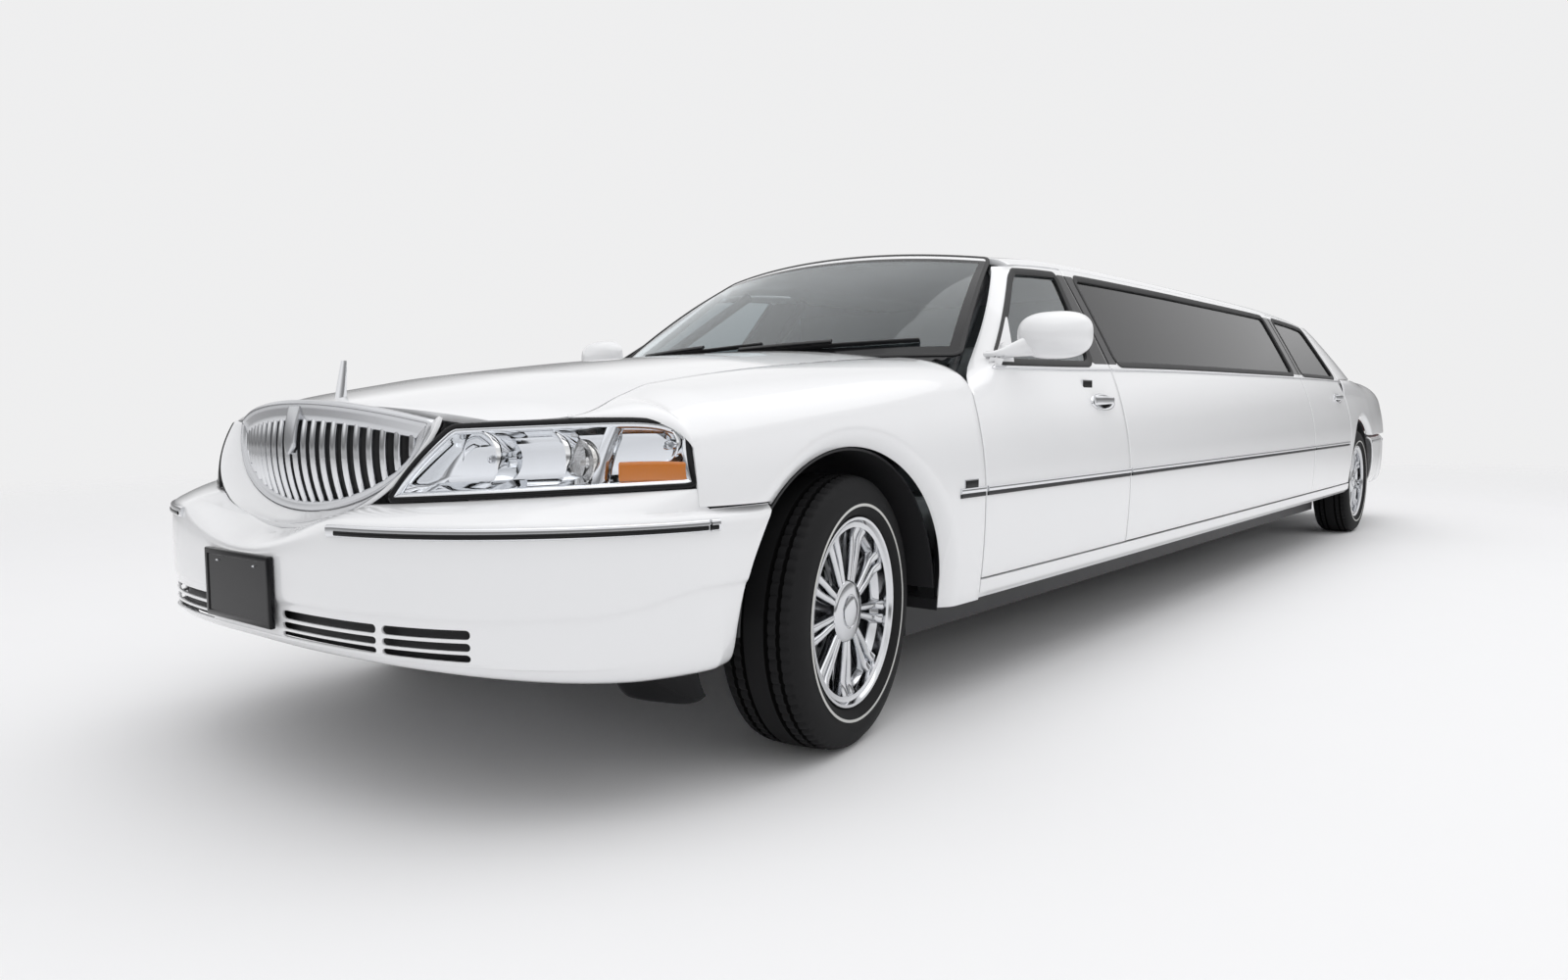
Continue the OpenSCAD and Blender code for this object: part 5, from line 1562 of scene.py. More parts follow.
    def plates(self) -> None:
        """Blank keypad over the front handle and the blank plate on the fender."""
        for name, body, y, z, half, height in (("door_keypad", "front_door", FRONT_AXLE + 1442, 948, 36, 27),
                                               ("fender_blank_plate", "body", FRONT_AXLE + 524, 650, 34, 24)):
            for word, grow, proud, finish, slot in (("frame", 4, 2.5, Finishes.chrome, Slot.CHROME),
                                                    ("face", 0, 4, Finishes.gloss_black, Slot.PLASTIC)):
                obj = strip(f"{name}_{word}", lambda u, z=z: (LINES.side_x(u, z), u, z), lambda u: (1, 0, 0),
                            (height + 2 * grow, proud), spread(y - half - grow, y + half + grow, step=9), 0.3)
                self.share(dress(obj, finish), body, slot)

    def share(self, obj: Piece, body: str, slot: Slot, node: str = "") -> None:
        """Settles a left piece and its mirror image on the body, or on the doors of both sides.

        Args:
            obj: Finished piece on the left.
            body: The body, or a door's name without its side.
            slot: Record's slot of its finish.
            node: Name of the solid that it stands for, without its side, or nothing.
        """
        for side in Side:
            tag = side.name.lower()
            piece = mirrored(obj, f"{obj.name}_right") if side is Side.RIGHT else obj
            nodes = [f"{node}_{tag}"] if node else []
            settle(piece, body if body == "body" else f"{body}_{tag}", slot, *nodes)

    def roof_point(self, k: float, s: float) -> Point:
        """Point of the roof: k from -13 to 13 across, s from its front edge."""
        a = abs(k)
        x = LINES.rail_x * min(a / 9, 1)
        f = (x / LINES.rail_x) ** 2
        y = lerp(FRONT_AXLE + 1262 + 72 * f, REAR_AXLE - 200 - 90 * f, s)
        if a <= 9:
            zc, ze = CABIN.at(y, 4), CABIN.at(y, 3)
            return math.copysign(x, k), y, crowned(ze, zc, x / LINES.rail_x)
        low = lerp(self.roof_low, 3, max(0.0, min(1.0, (y - REAR_AXLE + 640) / 350)))
        xq, zq = LINES.cabin(y, lerp(3, low, (a - 9) / 4))
        return math.copysign(xq, k), y, zq

    def roof(self) -> None:
        """Roof from the windshield to the rear window."""
        ks = spread(-13, -9, 9, 13, step=0.5)
        obj = Panel("roof_skin", self.roof_point, ks, spread(0, 0.04, 0.9, 1, step=0.012), 20.0, edge=2.0,
                    inside=(0, 0, 900)).build()
        settle(dress(obj, Finishes.paint), "body", Slot.PAINT, "roof")

    def shield_point(self, u: float, z: float) -> Point:
        """Point of the windshield: u from -1 to 1 across, z its level."""
        xe, ye, yc = (SHIELD.at(z, c) for c in (1, 2, 3))
        return xe * u, yc + (ye - yc) * abs(u) ** 2.2, z + 44 * (1 - u * u) * (z - 1034) / 371

    def back_point(self, u: float, z: float) -> Point:
        """Point of the rear window: u from -1 to 1 across, z its level."""
        xe, ye, yc = (BACK.at(z, c) for c in (1, 2, 3))
        return xe * u, yc + (ye - yc) * abs(u) ** 2.2, z + 38 * (1 - u * u) * (z - 1052) / 346

    def screens(self) -> None:
        """Windshield and rear window with their black borders, and the wipers."""
        clear, lip = 0.955, 14
        screens = (
            ("windshield_pane", self.shield_point, (1036, 1404), (1064, 1380), Finishes.windshield, Slot.CLEAR),
            ("rear_window_pane", self.back_point, (1054, 1396), (1076, 1372), Finishes.tinted, Slot.TINTED))
        for name, surface, (z0, z1), (b0, b1), finish, slot in screens:
            def border(u: float, z: float, low: float = b0, high: float = b1, top: float = z1 - lip) -> int:
                return 2 if z > top else int(abs(u) > clear or not low < z < high)

            node = name.removesuffix("_pane")
            obj = Panel(name, surface, spread(-1, -clear, clear, 1, step=0.05),
                        spread(z0, b0, b1, z1 - lip, z1, step=14), 5.0, edge=0, inside=(0, 0, 1000),
                        paint_by=border).build()
            settle(dress(obj, finish, Finishes.gloss_black, Finishes.paint), "body", slot, node)
            ring = EdgeRing(name.replace("pane", "seal"), surface, Opening(-1, 1, z0, z1, 0.03, 16),
                            ((-7, -6), (-7, 2), (3, 3), (7, 1), (7, -6)), 0.02, 4)
            settle(dress(ring.build(200), Finishes.rubber), "body", Slot.PLASTIC)
        self.wipers()

    def wipers(self) -> None:
        """Two wipers parked along the foot of the windshield."""
        pieces = []
        for k, (u0, u1) in enumerate(((-0.62, 0.12), (0.06, 0.84))):
            def rest(u: float, lift: float) -> Point:
                t = (u - u0) / (u1 - u0)
                x, y, z = self.shield_point(u, lerp(1052, 1078, t))
                return x, y - 0.6 * lift, z + lift

            blade = strip(f"wiper_blade_{k}", lambda u: rest(u, 7), lambda u: (0, -0.6, 0.8), (9, 8),
                          spread(u0, u1, step=0.04))
            arm = strip(f"wiper_arm_{k}", lambda u: rest(u, 20), lambda u: (0, -0.6, 0.8), (15, 5),
                        spread(u0 - 0.02, lerp(u0, u1, 0.55), step=0.04))
            pieces += [blade, arm]
        settle(dress(joined("wipers", *pieces), Finishes.plastic), "body", Slot.PLASTIC)

    def cowl(self) -> None:
        """Dark slatted panel between the hood and the windshield."""
        front = FrontEnd()

        def point(u: float, t: float) -> Point:
            a = np.array((front.hood_half(FRONT_AXLE + 533) * u, FRONT_AXLE + 580, 0.0))
            zg, zc = FRONT.at(FRONT_AXLE + 541, 4), FRONT.at(FRONT_AXLE + 541, 5)
            a[2] = crowned(zg, zc, u) - 30
            b = np.array(self.shield_point(u * 0.99, 1036)) + (0, 4, -8)
            p = a + (b - a) * t
            p[2] += 4 * math.sin(t * math.pi * 9) * smooth(0, 0.1, t) * smooth(1, 0.9, t)
            return tuple(p)

        obj = Panel("cowl_slats", point, spread(-0.985, 0.985, step=0.05), spread(0, 1, step=0.02), 3.0, edge=0,
                    inside=(0, FRONT_AXLE + 600, 500)).build()
        settle(dress(obj, Finishes.plastic), "body", Slot.PLASTIC, "cowl")

    def sail_point(self, u: float, w: float) -> Point:
        """Point of the panel between the rear door and the rear window."""
        v = 1 + w * 1.31
        y0 = self.rear_end(v) + LINES.shut
        x, zc = LINES.cabin(y0, v)
        z = lerp(1060, 1392, w)
        a = (x, y0, zc)
        c = (BACK.at(z, 1) + 9, BACK.at(z, 2) - 5, z)
        b = (lerp(a[0], c[0], 0.08), lerp(a[1], c[1], 0.7), lerp(a[2], c[2], 0.55))
        return bezier(a, b, c, u)

    def fixed_sides(self) -> None:
        """Sail panels and rockers."""
        sail = Panel("sail_skin", self.sail_point, spread(0, 1, step=0.03), spread(0, 1, step=0.04), 16.0,
                     inside=(0, REAR_AXLE - 200, 1000)).build()
        settle(dress(paired("sail_skins", sail), Finishes.paint), "body", Slot.PAINT, "sail_panels")

        def rocker(y: float, t: float) -> Point:
            z = lerp(LINES.sill_z, LINES.door_z - LINES.shut, t)
            return LINES.side_x(y, z) - 14 * (1 - smooth(0, 0.4, t)), y, z

        obj = Panel("rocker_skin", rocker, spread(FRONT_AXLE + 609, REAR_AXLE - LINES.arch_r - 30, step=60),
                    spread(0, 1, step=0.1), 18.0, inside=(0, 0, 330)).build()
        settle(dress(paired("rocker_skins", obj), Finishes.paint), "body", Slot.PAINT, "rockers")

    def mirrors(self) -> None:
        """Door mirrors with their glass and sail plates."""
        deep, half_w, half_h = 92.0, 116.0, 73.0

        def shell(d: float, t: float) -> Point:
            share = math.sqrt(max(1 - (1 - d / deep) ** 2.6, 0.0))
            c, s = on_circle(t)
            px = half_w * rounded(c, 0.74)
            pz = half_h * rounded(s, 0.74)
            return (1036 + px * share + (1 - share) * 20,
                    FRONT_AXLE + 862 + d + (px * share + half_w) * 0.09, 1092 + pz * share)

        obj = tube("mirror_shell", shell, [deep * (i / 20) ** 1.6 for i in range(21)], 48)
        pick_faces(obj, lambda p: len(p.vertices) > 20 and p.normal.y > 0.5,
                   lambda: bpy.ops.mesh.inset(thickness=5 * MM, depth=0),
                   lambda: bpy.ops.mesh.inset(thickness=2 * MM, depth=-7 * MM))
        for p in obj.data.polygons:
            p.material_index = int(p.select)

        def plate(u: float, v: float) -> Point:
            a = self.front_y(0.25, v)
            y = lerp(a - 4, a + lerp(128, 9, (v - 1.03) / 0.47), u)
            x, z = LINES.cabin(y, v)
            return x + 3, y, z

        sail = Panel("mirror_sail", plate, spread(0, 1, step=0.34), spread(1.03, 1.5, step=0.06), 9.0, edge=0,
                     inside=(0, FRONT_AXLE + 900, 900)).build()

        def neck(x: float, t: float) -> Point:
            c, s = on_circle(t)
            f = smooth(880, 985, x)
            y = FRONT_AXLE + lerp(872, 918, f) + lerp(56, 34, f) * c
            return x, y, lerp(1034, 1062, f) + lerp(12, 34, f) * rounded(s, 0.7)

        arm = shade(tube("mirror_neck", neck, spread(862, 990, step=8), 24), 60)
        whole = joined("mirror_whole", shade(obj, 45), sail, arm)
        self.share(dress(whole, Finishes.paint, Finishes.reflector), "front_door", Slot.PAINT, "mirror")

    def build(self) -> None:
        """Builds the cabin."""
        self.doors()
        self.long_panels()
        self.trim()
        self.plates()
        self.roof()
        self.screens()
        self.cowl()
        self.fixed_sides()
        self.mirrors()


LID = Curve([(0, 510, 0), (0.12, 620, 0), (0.3, 760, 0), (0.46, 900, 0), (0.6, 1050, 0), (0.72, 1180, 0),
             (0.8, 1270, 0), (0.85, 1318, 2), (0.87, 1338, 14), (0.885, 1350, 34), (0.9, 1355, 70), (0.93, 1359, 150),
             (0.965, 1363, 230), (1, 1367, 306)])
REAR_BUMPER = Curve([(290, 90), (312, 48), (360, 20), (430, 6), (520, 0), (600, 2), (632, 14), (650, 40)])


@dataclass(frozen=True)
class RearEnd:
    """Quarters, deck, lamps and bumper behind the doors."""

    lid_side: float = 600.0
    bumper_reach: float = 1391.0
    strip_z: float = 612.0

    def quarter_point(self, y: float, v: float) -> Point:
        """Point of the rear quarter: v 0 to 1 up the side, 1 to 2 over to the deck."""
        rel = y - REAR_AXLE
        if rel < -LINES.arch_r + 1:
            z0 = LINES.door_z
        elif rel > LINES.arch_r - 1:
            z0 = LINES.over_bumper
        else:
            z0 = max(LINES.arch_z(y, REAR_AXLE), LINES.over_bumper if rel > 0 else 0.0)
        x, z = LINES.shoulder(REAR, y, z0, v)
        return x - LINES.tuck(y, z, REAR_AXLE), y, z

    def quarters(self) -> None:
        """Both rear quarters with their wheel arches."""
        arch = [REAR_AXLE + LINES.arch_r * math.sin(math.radians(a)) for a in spread(-87, 48, step=3)]
        ys = [REAR_AXLE - 478, REAR_AXLE - 450, REAR_AXLE - 424] + arch
        ys += spread(REAR_AXLE + 330, REAR_AXLE + 1228, step=30)
        obj = Panel("quarter_skin", self.quarter_point, ys, spread(0, 1, 2, step=0.05), 7.0,
                    inside=(0, REAR_AXLE + 300, 700)).build()
        settle(dress(paired("quarter_skins", obj), Finishes.paint), "body", Slot.PAINT, "rear_quarters")

    def shelf(self) -> None:
        """Painted shelf between the rear window and the trunk lid."""
        cabin = Cabin()

        def point(u: float, w: float) -> Point:
            y = lerp(cabin.back_point(u, 1052)[1] + 6, REAR_AXLE + 490, w)
            half = REAR.at(y, 3) - LINES.shut
            zg, zc = REAR.at(y, 4), REAR.at(y, 5)
            return half * u, y, crowned(zg, zc, u)

        obj = Panel("rear_shelf_skin", point, spread(-1, 1, step=0.05), spread(0, 1, step=0.2), 6.0,
                    inside=(0, REAR_AXLE + 450, 800)).build()
        settle(dress(obj, Finishes.paint), "body", Slot.PAINT)

    def lid_point(self, k: float, s: float) -> Point:
        """Point of the trunk lid: k from -1 to 1 across, s along the deck and down the tail."""
        run, drop = LID.at(s, 1), max(LID.at(s, 2), 0.0)
        y = REAR_AXLE + min(run, 1322)
        half = lerp(REAR.at(y, 3) - LINES.shut, self.lid_side, min(drop / 60, 1))
        zg, zc = REAR.at(y, 4), REAR.at(y, 5)
        bow = 24 * min(drop / 22, 1) * k * k
        return half * k, REAR_AXLE + run - bow, crowned(zg, zc, k) - drop

    def lid(self) -> None:
        """Trunk lid with its bright strip."""
        ss = spread(0, 0.8, 0.85, 0.9, 1, step=0.02)
        obj = Panel("trunk_lid_skin", self.lid_point, spread(-1, 1, step=0.04), ss, 18.0, edge=3.0,
                    inside=(0, REAR_AXLE + 900, 800)).build()
        settle(dress(obj, Finishes.paint), "trunk_lid", Slot.PAINT, "trunk_lid")
        bright = strip("lid_bright", lambda k: self.lid_point(k, 0.915), lambda k: (0, 1, 0), (26, 6),
                       spread(-0.95, 0.95, step=0.05))
        settle(dress(bright, Finishes.chrome), "trunk_lid", Slot.CHROME)

    def tail_point(self, u: float, w: float) -> Point:
        """Point of the tail lamp around the corner: u from the side to the lid, w up."""
        z = lerp(668, REAR.at(REAR_AXLE + 1240, 4) - 76, w)
        x = LINES.side_x(REAR_AXLE + 1234, z)
        p = bezier((x, REAR_AXLE + 1234), (x - 40, REAR_AXLE + 1342), (618, REAR_AXLE + 1346 - 12 * w), u)
        return p[0], p[1], z

    def lamps(self) -> None:
        """Tail lamps with a silver band."""
        obj = Panel("tail_lamp", self.tail_point, spread(0, 1, step=0.04), spread(0, 0.36, 0.52, 1, step=0.05), 24.0,
                    edge=3.0, inside=(0, REAR_AXLE + 1100, 800),
                    paint_by=lambda u, w: int(u > 0.45 and 0.36 < w < 0.52)).build()
        settle(dress(paired("tail_lamp_lenses", obj), Finishes.red, Finishes.fluted), "body", Slot.RED, "tail_lamps")

    def closings(self) -> None:
        """Painted plates behind the tail lamps' tops and below the trunk lid's lower edge."""
        def cap(u: float, w: float) -> Point:
            x, y, z = self.tail_point(u, 1.0)
            return lerp(x - 4, lerp(x - 60, 612, u), w), lerp(y - 6, REAR_AXLE + 1190, w), z - 6 + 40 * w

        def sill(u: float, w: float) -> Point:
            return 598 * u, REAR_AXLE + 1322 - 30 * u * u - 18 * w, lerp(622, 694, w)

        top = Panel("tail_lamp_cap", cap, spread(0, 1, step=0.1), spread(0, 1, step=0.25), 4.0,
                    inside=(650, REAR_AXLE + 1200, 600)).build()
        settle(dress(paired("tail_lamp_caps", top), Finishes.paint), "body", Slot.PAINT)
        low = Panel("trunk_sill", sill, spread(-1, 1, step=0.1), spread(0, 1, step=0.25), 4.0,
                    inside=(0, REAR_AXLE + 900, 650)).build()
        settle(dress(low, Finishes.paint), "body", Slot.PAINT)

    def bumper_point(self, k: float, z: float) -> Point:
        """Point of the rear bumper: k from the middle, 10 at the corner, 14 at the arch."""
        a = math.radians(min(abs(k), 10) * 9)
        x0 = LINES.side_x(REAR_AXLE + 900, LINES.waist_z)
        f = min(abs(k) / 10, 1)
        back = REAR_BUMPER.at(z, 1)
        if abs(k) <= 10:
            x = x0 * math.sin(a) ** 0.5 - back * f * 0.7
            y = REAR_AXLE + 900 + (self.bumper_reach - 900) * max(math.cos(a), 0) ** 0.9 - back * (1 - f * 0.9)
        else:
            arch = math.sqrt(LINES.arch_r**2 - (max(z, LINES.hub_z) - LINES.hub_z) ** 2)
            y = lerp(REAR_AXLE + 900, REAR_AXLE + arch + 12, (abs(k) - 10) / 4)
            x = LINES.side_x(y, LINES.waist_z) - LINES.bulge(z) * 0.6 - back * 0.7
        return math.copysign(max(x, 0.0), k), y, z

    def bumper(self) -> None:
        """Rear bumper with its bright strip."""
        half = spread(0, 0.2, 10, 14, step=0.35)
        obj = Panel("rear_bumper_shell", self.bumper_point, [-k for k in reversed(half[1:])] + half,
                    spread(290, 312, 360, 600, 632, 650, step=14), 8.0, edge=2.0,
                    inside=(0, REAR_AXLE + 500, 480)).build()
        settle(dress(obj, Finishes.paint), "body", Slot.PAINT, "rear_bumper")

        def path(k: float) -> Point:
            return self.bumper_point(k, self.strip_z)

        def out(k: float) -> np.ndarray:
            a = np.subtract(path(k + 0.03), path(k - 0.03))
            n = np.array((a[1], -a[0], 0.0)) / max(math.hypot(a[0], a[1]), 1e-9)
            return n if n[1] + 0.5 * n[0] > 0 else -n

        bright = strip("rear_bumper_bright", path, out, (20, 5), spread(0.6, 13.8, step=0.2))
        settle(dress(paired("rear_bumper_bright", bright), Finishes.chrome), "body", Slot.CHROME)

    def build(self) -> None:
        """Builds the rear end."""
        self.quarters()
        self.shelf()
        self.lid()
        self.lamps()
        self.closings()
        self.bumper()


@dataclass(frozen=True)
class Wheel:
    """One wheel: tyre with tread, bright rim with double spokes, and a bare cap."""

    name: str
    side: Side
    axle: float
    steer: float = 0.0
    spokes: int = 9
    radius: float = 351.0
    width: float = 225.0
    track: float = 1666.0
    kingpin: float = 745.0
    sipes: int = 72

    def place(self, obj: Piece) -> Piece:
        """Moves a wheel piece, made about the z axis with its face up, to its wheel."""
        s = self.side.value
        turn = Matrix.Rotation(math.radians(90), 4, "Y")
        flip = Matrix.Scale(s, 4, (1, 0, 0))
        hub = Matrix.Translation(Vector((s * self.track / 2, self.axle, self.radius)) * MM)
        pin = Vector((s * self.kingpin, self.axle, 0)) * MM
        swing = Matrix.Translation(pin) @ Matrix.Rotation(math.radians(self.steer), 4, "Z") @ Matrix.Translation(-pin)
        obj.data.transform(swing @ hub @ flip @ turn)
        if self.side is Side.RIGHT:
            edit(obj, bpy.ops.mesh.flip_normals)
        return obj

    def tyre(self) -> None:
        """Tyre with grooves painted darker as painted shade, shoulder blocks and a thin white ring."""
        w = self.width / 2
        half = [(87, 216.6), (89.5, 244.5), (w - 12, 250), (w - 4, 262), (w - 0.6, 270), (w + 0.2, 270.4),
                (w + 0.2, 276.4), (w - 0.2, 277), (w - 1, 290), (w - 2, 305), (w - 10, 330), (w - 22, 343),
                (w - 30, 346), (w - 44, 349), (w - 46, 342), (w - 53, 342), (w - 55, 349.6), (w - 75, 350.8),
                (w - 77, 343), (w - 84, 343), (w - 86, 351)]
        profile = half + [(-a, b) for a, b in reversed(half)]
        around = self.sipes * 4
        tread = range(11, len(profile) - 11)
        ring_rows, groove_rows = (4, 5, 6), (13, 14, 15, 17, 18, 19)

        def point(u: float, v: float) -> Point:
            j = round(v)
            along, radius = profile[j]
            if j in tread and radius > 345 and round(u) % 4 == 0 and abs(along) > 30:
                radius -= 4.5
            angle = 2 * math.pi * u / around
            return radius * math.cos(angle), radius * math.sin(angle), along

        obj = lay_grid(f"{self.name}_tyre", point, list(range(around + 1)), list(range(len(profile))))
        # Faces in the grooves get the near-black groove finish as painted shade; the ring rows get the white ring.
        for polygon in obj.data.polygons:
            row = min(polygon.vertices) // (around + 1)
            deep = min(row, len(profile) - 2 - row) in groove_rows
            polygon.material_index = 2 if deep else int(row in ring_rows)
        weld(obj)
        self.place(shade(obj, 35))
        dress(obj, Finishes.tread, Finishes.white_ring, Finishes.groove)
        settle(obj, f"wheel_{self.name}", Slot.RUBBER, f"tyre_{self.name}")

    def spoke(self, turn: float, side: float) -> Piece:
        """One bar of a double spoke.

        Args:
            turn: Angle of the spoke.
            side: 1 or -1 for the bar on either side of the groove.

        Returns:
            The closed bar about the z axis.
        """
        def point(r: float, t: float) -> Point:
            f = (r - 66) / 168
            inner, outer = lerp(1.0, 5.0, smooth(0.2, 0.5, f)), lerp(16, 34, f)
            mid, half = (inner + outer) / 2, (outer - inner) / 2
            c, s = on_circle(t)
            across = side * (mid + half * rounded(c, 0.55))
            crown = 76 - 6 * f * f + 16 * smooth(0.7, 1, f)
            up = crown - 17 + 17 * rounded(s, 0.55)
            a = math.radians(turn)
            return *spun(r, across, a), up

        return shade(tube("spoke", point, spread(66, 234, step=12), 18), 50)

    def rim(self) -> None:
        """Bright rim: barrel, double spokes, hub and bare cap."""
        barrel = turned("barrel", [(-89, 203), (-98, 236), (-91, 236), (-88.5, 216), (88.5, 216), (91, 240),
                                   (94, 243.5), (98, 242), (97, 235), (90, 229), (78, 222), (62, 214), (52, 206),
                                   (40, 202), (-89, 203)], 96)
        hub = turned("hub", [(8, 24.5), (8, 74), (62, 80), (74, 80), (78, 76), (80, 70), (82, 44), (80, 42), (80, 40),
                             (85, 39), (87, 34), (88, 18), (88.2, 0), (40, 0), (40, 24.5), (8, 24.5)], 64)
        bars = [self.spoke(360 / self.spokes * k, side) for k in range(self.spokes) for side in (1.0, -1.0)]
        obj = self.place(joined(f"{self.name}_rim", barrel, hub, *bars))
        settle(dress(obj, Finishes.wheel), f"wheel_{self.name}", Slot.CHROME, f"rim_{self.name}")

    def build(self) -> None:
        """Builds the wheel."""
        self.tyre()
        self.rim()


@dataclass(frozen=True)
class Cushion:
    """Padded block: swollen by a cloth run, then pressed in along its sewn channels."""

    name: str
    low: Point
    high: Point
    face: int = 2
    channels: tuple[float, ...] = ()
    start: float = 12.0
    round: float = 44.0
    cell: float = 20.0
    cap: float = 13.0

    def swell(self, obj: Piece) -> None:
        """Blows the pad up with a cloth run and caps how far each point moves."""
        count = len(obj.data.vertices)
        before, after = np.zeros(count * 3), np.zeros(count * 3)
        obj.data.vertices.foreach_get("co", before)
        cloth = obj.modifiers.new("cloth", "CLOTH")
        cloth.settings.use_pressure = True
        cloth.settings.uniform_pressure_force = 4.0
        cloth.settings.effector_weights.gravity = 0.0
        for step in range(1, 21):
            bpy.context.scene.frame_set(step)
        take(obj)
        bpy.ops.object.modifier_apply(modifier=cloth.name)
        bpy.context.scene.frame_set(1)
        obj.data.vertices.foreach_get("co", after)
        move = (after - before).reshape(-1, 3)
        far = np.linalg.norm(move, axis=1)[:, None]
        move *= np.minimum(1.0, self.cap * MM / np.maximum(far, 1e-9))
        obj.data.vertices.foreach_set("co", (before.reshape(-1, 3) + move).ravel())

    def sew(self, obj: Piece) -> None:
        """Presses the channels into the face that is sat on or leant on."""
        sign = 1 if self.face == 2 else -1
        for vertex in obj.data.vertices:
            depth = sum(math.exp(-((vertex.co.x / MM - x) / 13) ** 2) for x in self.channels)
            if vertex.normal[self.face] * sign > 0.35:
                vertex.co[self.face] -= sign * 9 * MM * depth

    def build(self) -> Piece:
        """Makes the cushion.

        Returns:
            The closed pad inside its block.
        """
        low, high = np.array(self.low) + self.start, np.array(self.high) - self.start
        obj = block(self.name, (low + high) / 2 * MM, (high - low) * MM)
        modify(obj, "BEVEL", width=min(self.round, min(high - low) * 0.42) * MM, segments=4)
        modify(obj, "REMESH", mode="VOXEL", voxel_size=self.cell * MM)
        self.swell(obj)
        modify(obj, "SUBSURF", levels=1)
        self.sew(obj)
        return shade(obj, 180)


@dataclass(frozen=True)
class Interior:
    """Seats, rear bench, fascia and steering wheel behind the glass."""

    wheel_spot: Point = (370, FRONT_AXLE + 1090, 900)

    def seats(self) -> None:
        """Front seats with their head restraints, and the rear bench."""
        y, r = FRONT_AXLE, REAR_AXLE
        pads = [Cushion("seat_pad", (182, y + 1150, 320), (658, y + 1640, 522), 2, (320, 420, 520)),
                Cushion("seat_back", (190, y + 1556, 500), (650, y + 1684, 952), 1, (320, 420, 520)),
                Cushion("head_restraint", (300, y + 1566, 962), (540, y + 1670, 1122), 1)]
        for pad in pads:
            self.soft(paired(pad.name, pad.build()), "front_seats")
        posts = []
        for x in (370, 470):
            def post(z: float, t: float, x: float = x) -> Point:
                c, s = on_circle(t)
                return x + 6 * c, y + 1618 + 6 * s, z

            posts.append(tube(f"restraint_post_{x}", post, [930, 960, 985], 12))
        stems = shade(joined("restraint_posts", *posts), 60)
        settle(dress(paired("restraint_posts", stems), Finishes.satin), "body", Slot.CHROME)
        rows = (-430, -215, 0, 215, 430)
        bench = [Cushion("bench_base", (232, r - 1000, 320), (650, r - 652, 545), 2),
                 Cushion("bench_pad", (-650, r - 1004, 520), (650, r - 505, 596), 2, rows, start=6.0, cap=7.0),
                 Cushion("bench_back", (-650, r - 528, 570), (650, r - 383, 1092), 1, rows)]
        for pad in bench:
            obj = pad.build()
            self.soft(paired(pad.name, obj) if pad.name == "bench_base" else obj, "benches")

    def soft(self, obj: Piece, node: str) -> None:
        """Finishes a pad in hide."""
        settle(dress(obj, Finishes.hide), "body", Slot.HIDE, node)

    def fascia(self) -> None:
        """Rounded fascia with a brow over the dials."""
        def point(x: float, t: float) -> Point:
            c, s = on_circle(t)
            brow = math.exp(-(((x - 370) / 150) ** 4))
            y = FRONT_AXLE + 750 + (108 + 26 * brow * max(c, 0)) * rounded(c, 0.4)
            return x, y, 842 + (140 + 16 * brow * max(s, 0)) * rounded(s, 0.4) - 22 * (x / 690) ** 2 * max(s, 0)

        obj = shade(tube("fascia", point, spread(-686, 686, step=30), 40), 50)
        settle(dress(obj, Finishes.fascia), "body", Slot.PLASTIC, "dashboard")

    def wheel(self) -> None:
        """Steering wheel: padded rim, three spokes and a plain hub."""
        ring = [(15 * math.sin(a), 180 + 15 * math.cos(a)) for a in np.linspace(0, 2 * math.pi, 17)]
        pieces = [turned("steering_rim", ring, 72),
                  turned("steering_hub", [(-34, 0), (-34, 40), (-10, 62), (4, 58), (12, 40), (14, 0)], 48)]
        for turn in (0.0, 180.0, 270.0):
            a = math.radians(turn)

            def point(r: float, t: float, a: float = a) -> Point:
                c, s = on_circle(t)
                across = lerp(22, 13, (r - 40) / 132) * c
                return *spun(r, across, a), 6 * s - 4

            pieces.append(shade(tube("steering_spoke", point, spread(40, 172, step=22), 16), 60))
        obj = joined("steering_wheel_whole", *pieces)
        spot = Matrix.Translation(Vector(self.wheel_spot) * MM)
        obj.data.transform(spot @ Matrix.Rotation(math.radians(65), 4, "X"))
        settle(dress(obj, Finishes.plastic), "body", Slot.PLASTIC, "steering_wheel")

    def build(self) -> None:
        """Builds the interior."""
        self.seats()
        self.fascia()
        self.wheel()


@dataclass(frozen=True)
class Underbody:
    """Solids that stay as they are, with their own finishes."""

    finishes: tuple[tuple[str, Finish], ...] = (
        ("frame", Finishes.steel), ("floor_pan", Finishes.steel), ("wheel_liners", Finishes.plastic),
        ("front_arms", Finishes.steel), ("knuckle_left", Finishes.cast), ("knuckle_right", Finishes.cast),
        ("rear_axle", Finishes.cast), ("pillars", Finishes.steel), ("engine", Finishes.cast),
        ("driveline", Finishes.cast), ("exhaust", Finishes.pipe), ("fuel_tank", Finishes.steel),
        ("rear_shelf", Finishes.paint), ("partition", Finishes.fascia))

    def build(self, nodes: dict[str, Piece]) -> None:
        """Gives the solids that still show their finishes.

        Args:
            nodes: The frame's solids by name.
        """
        for name, finish in self.finishes:
            if not nodes[name].hide_render:
                dress(nodes[name], finish)
                LOG.info("%s keeps its solid with %s", name, finish.name)


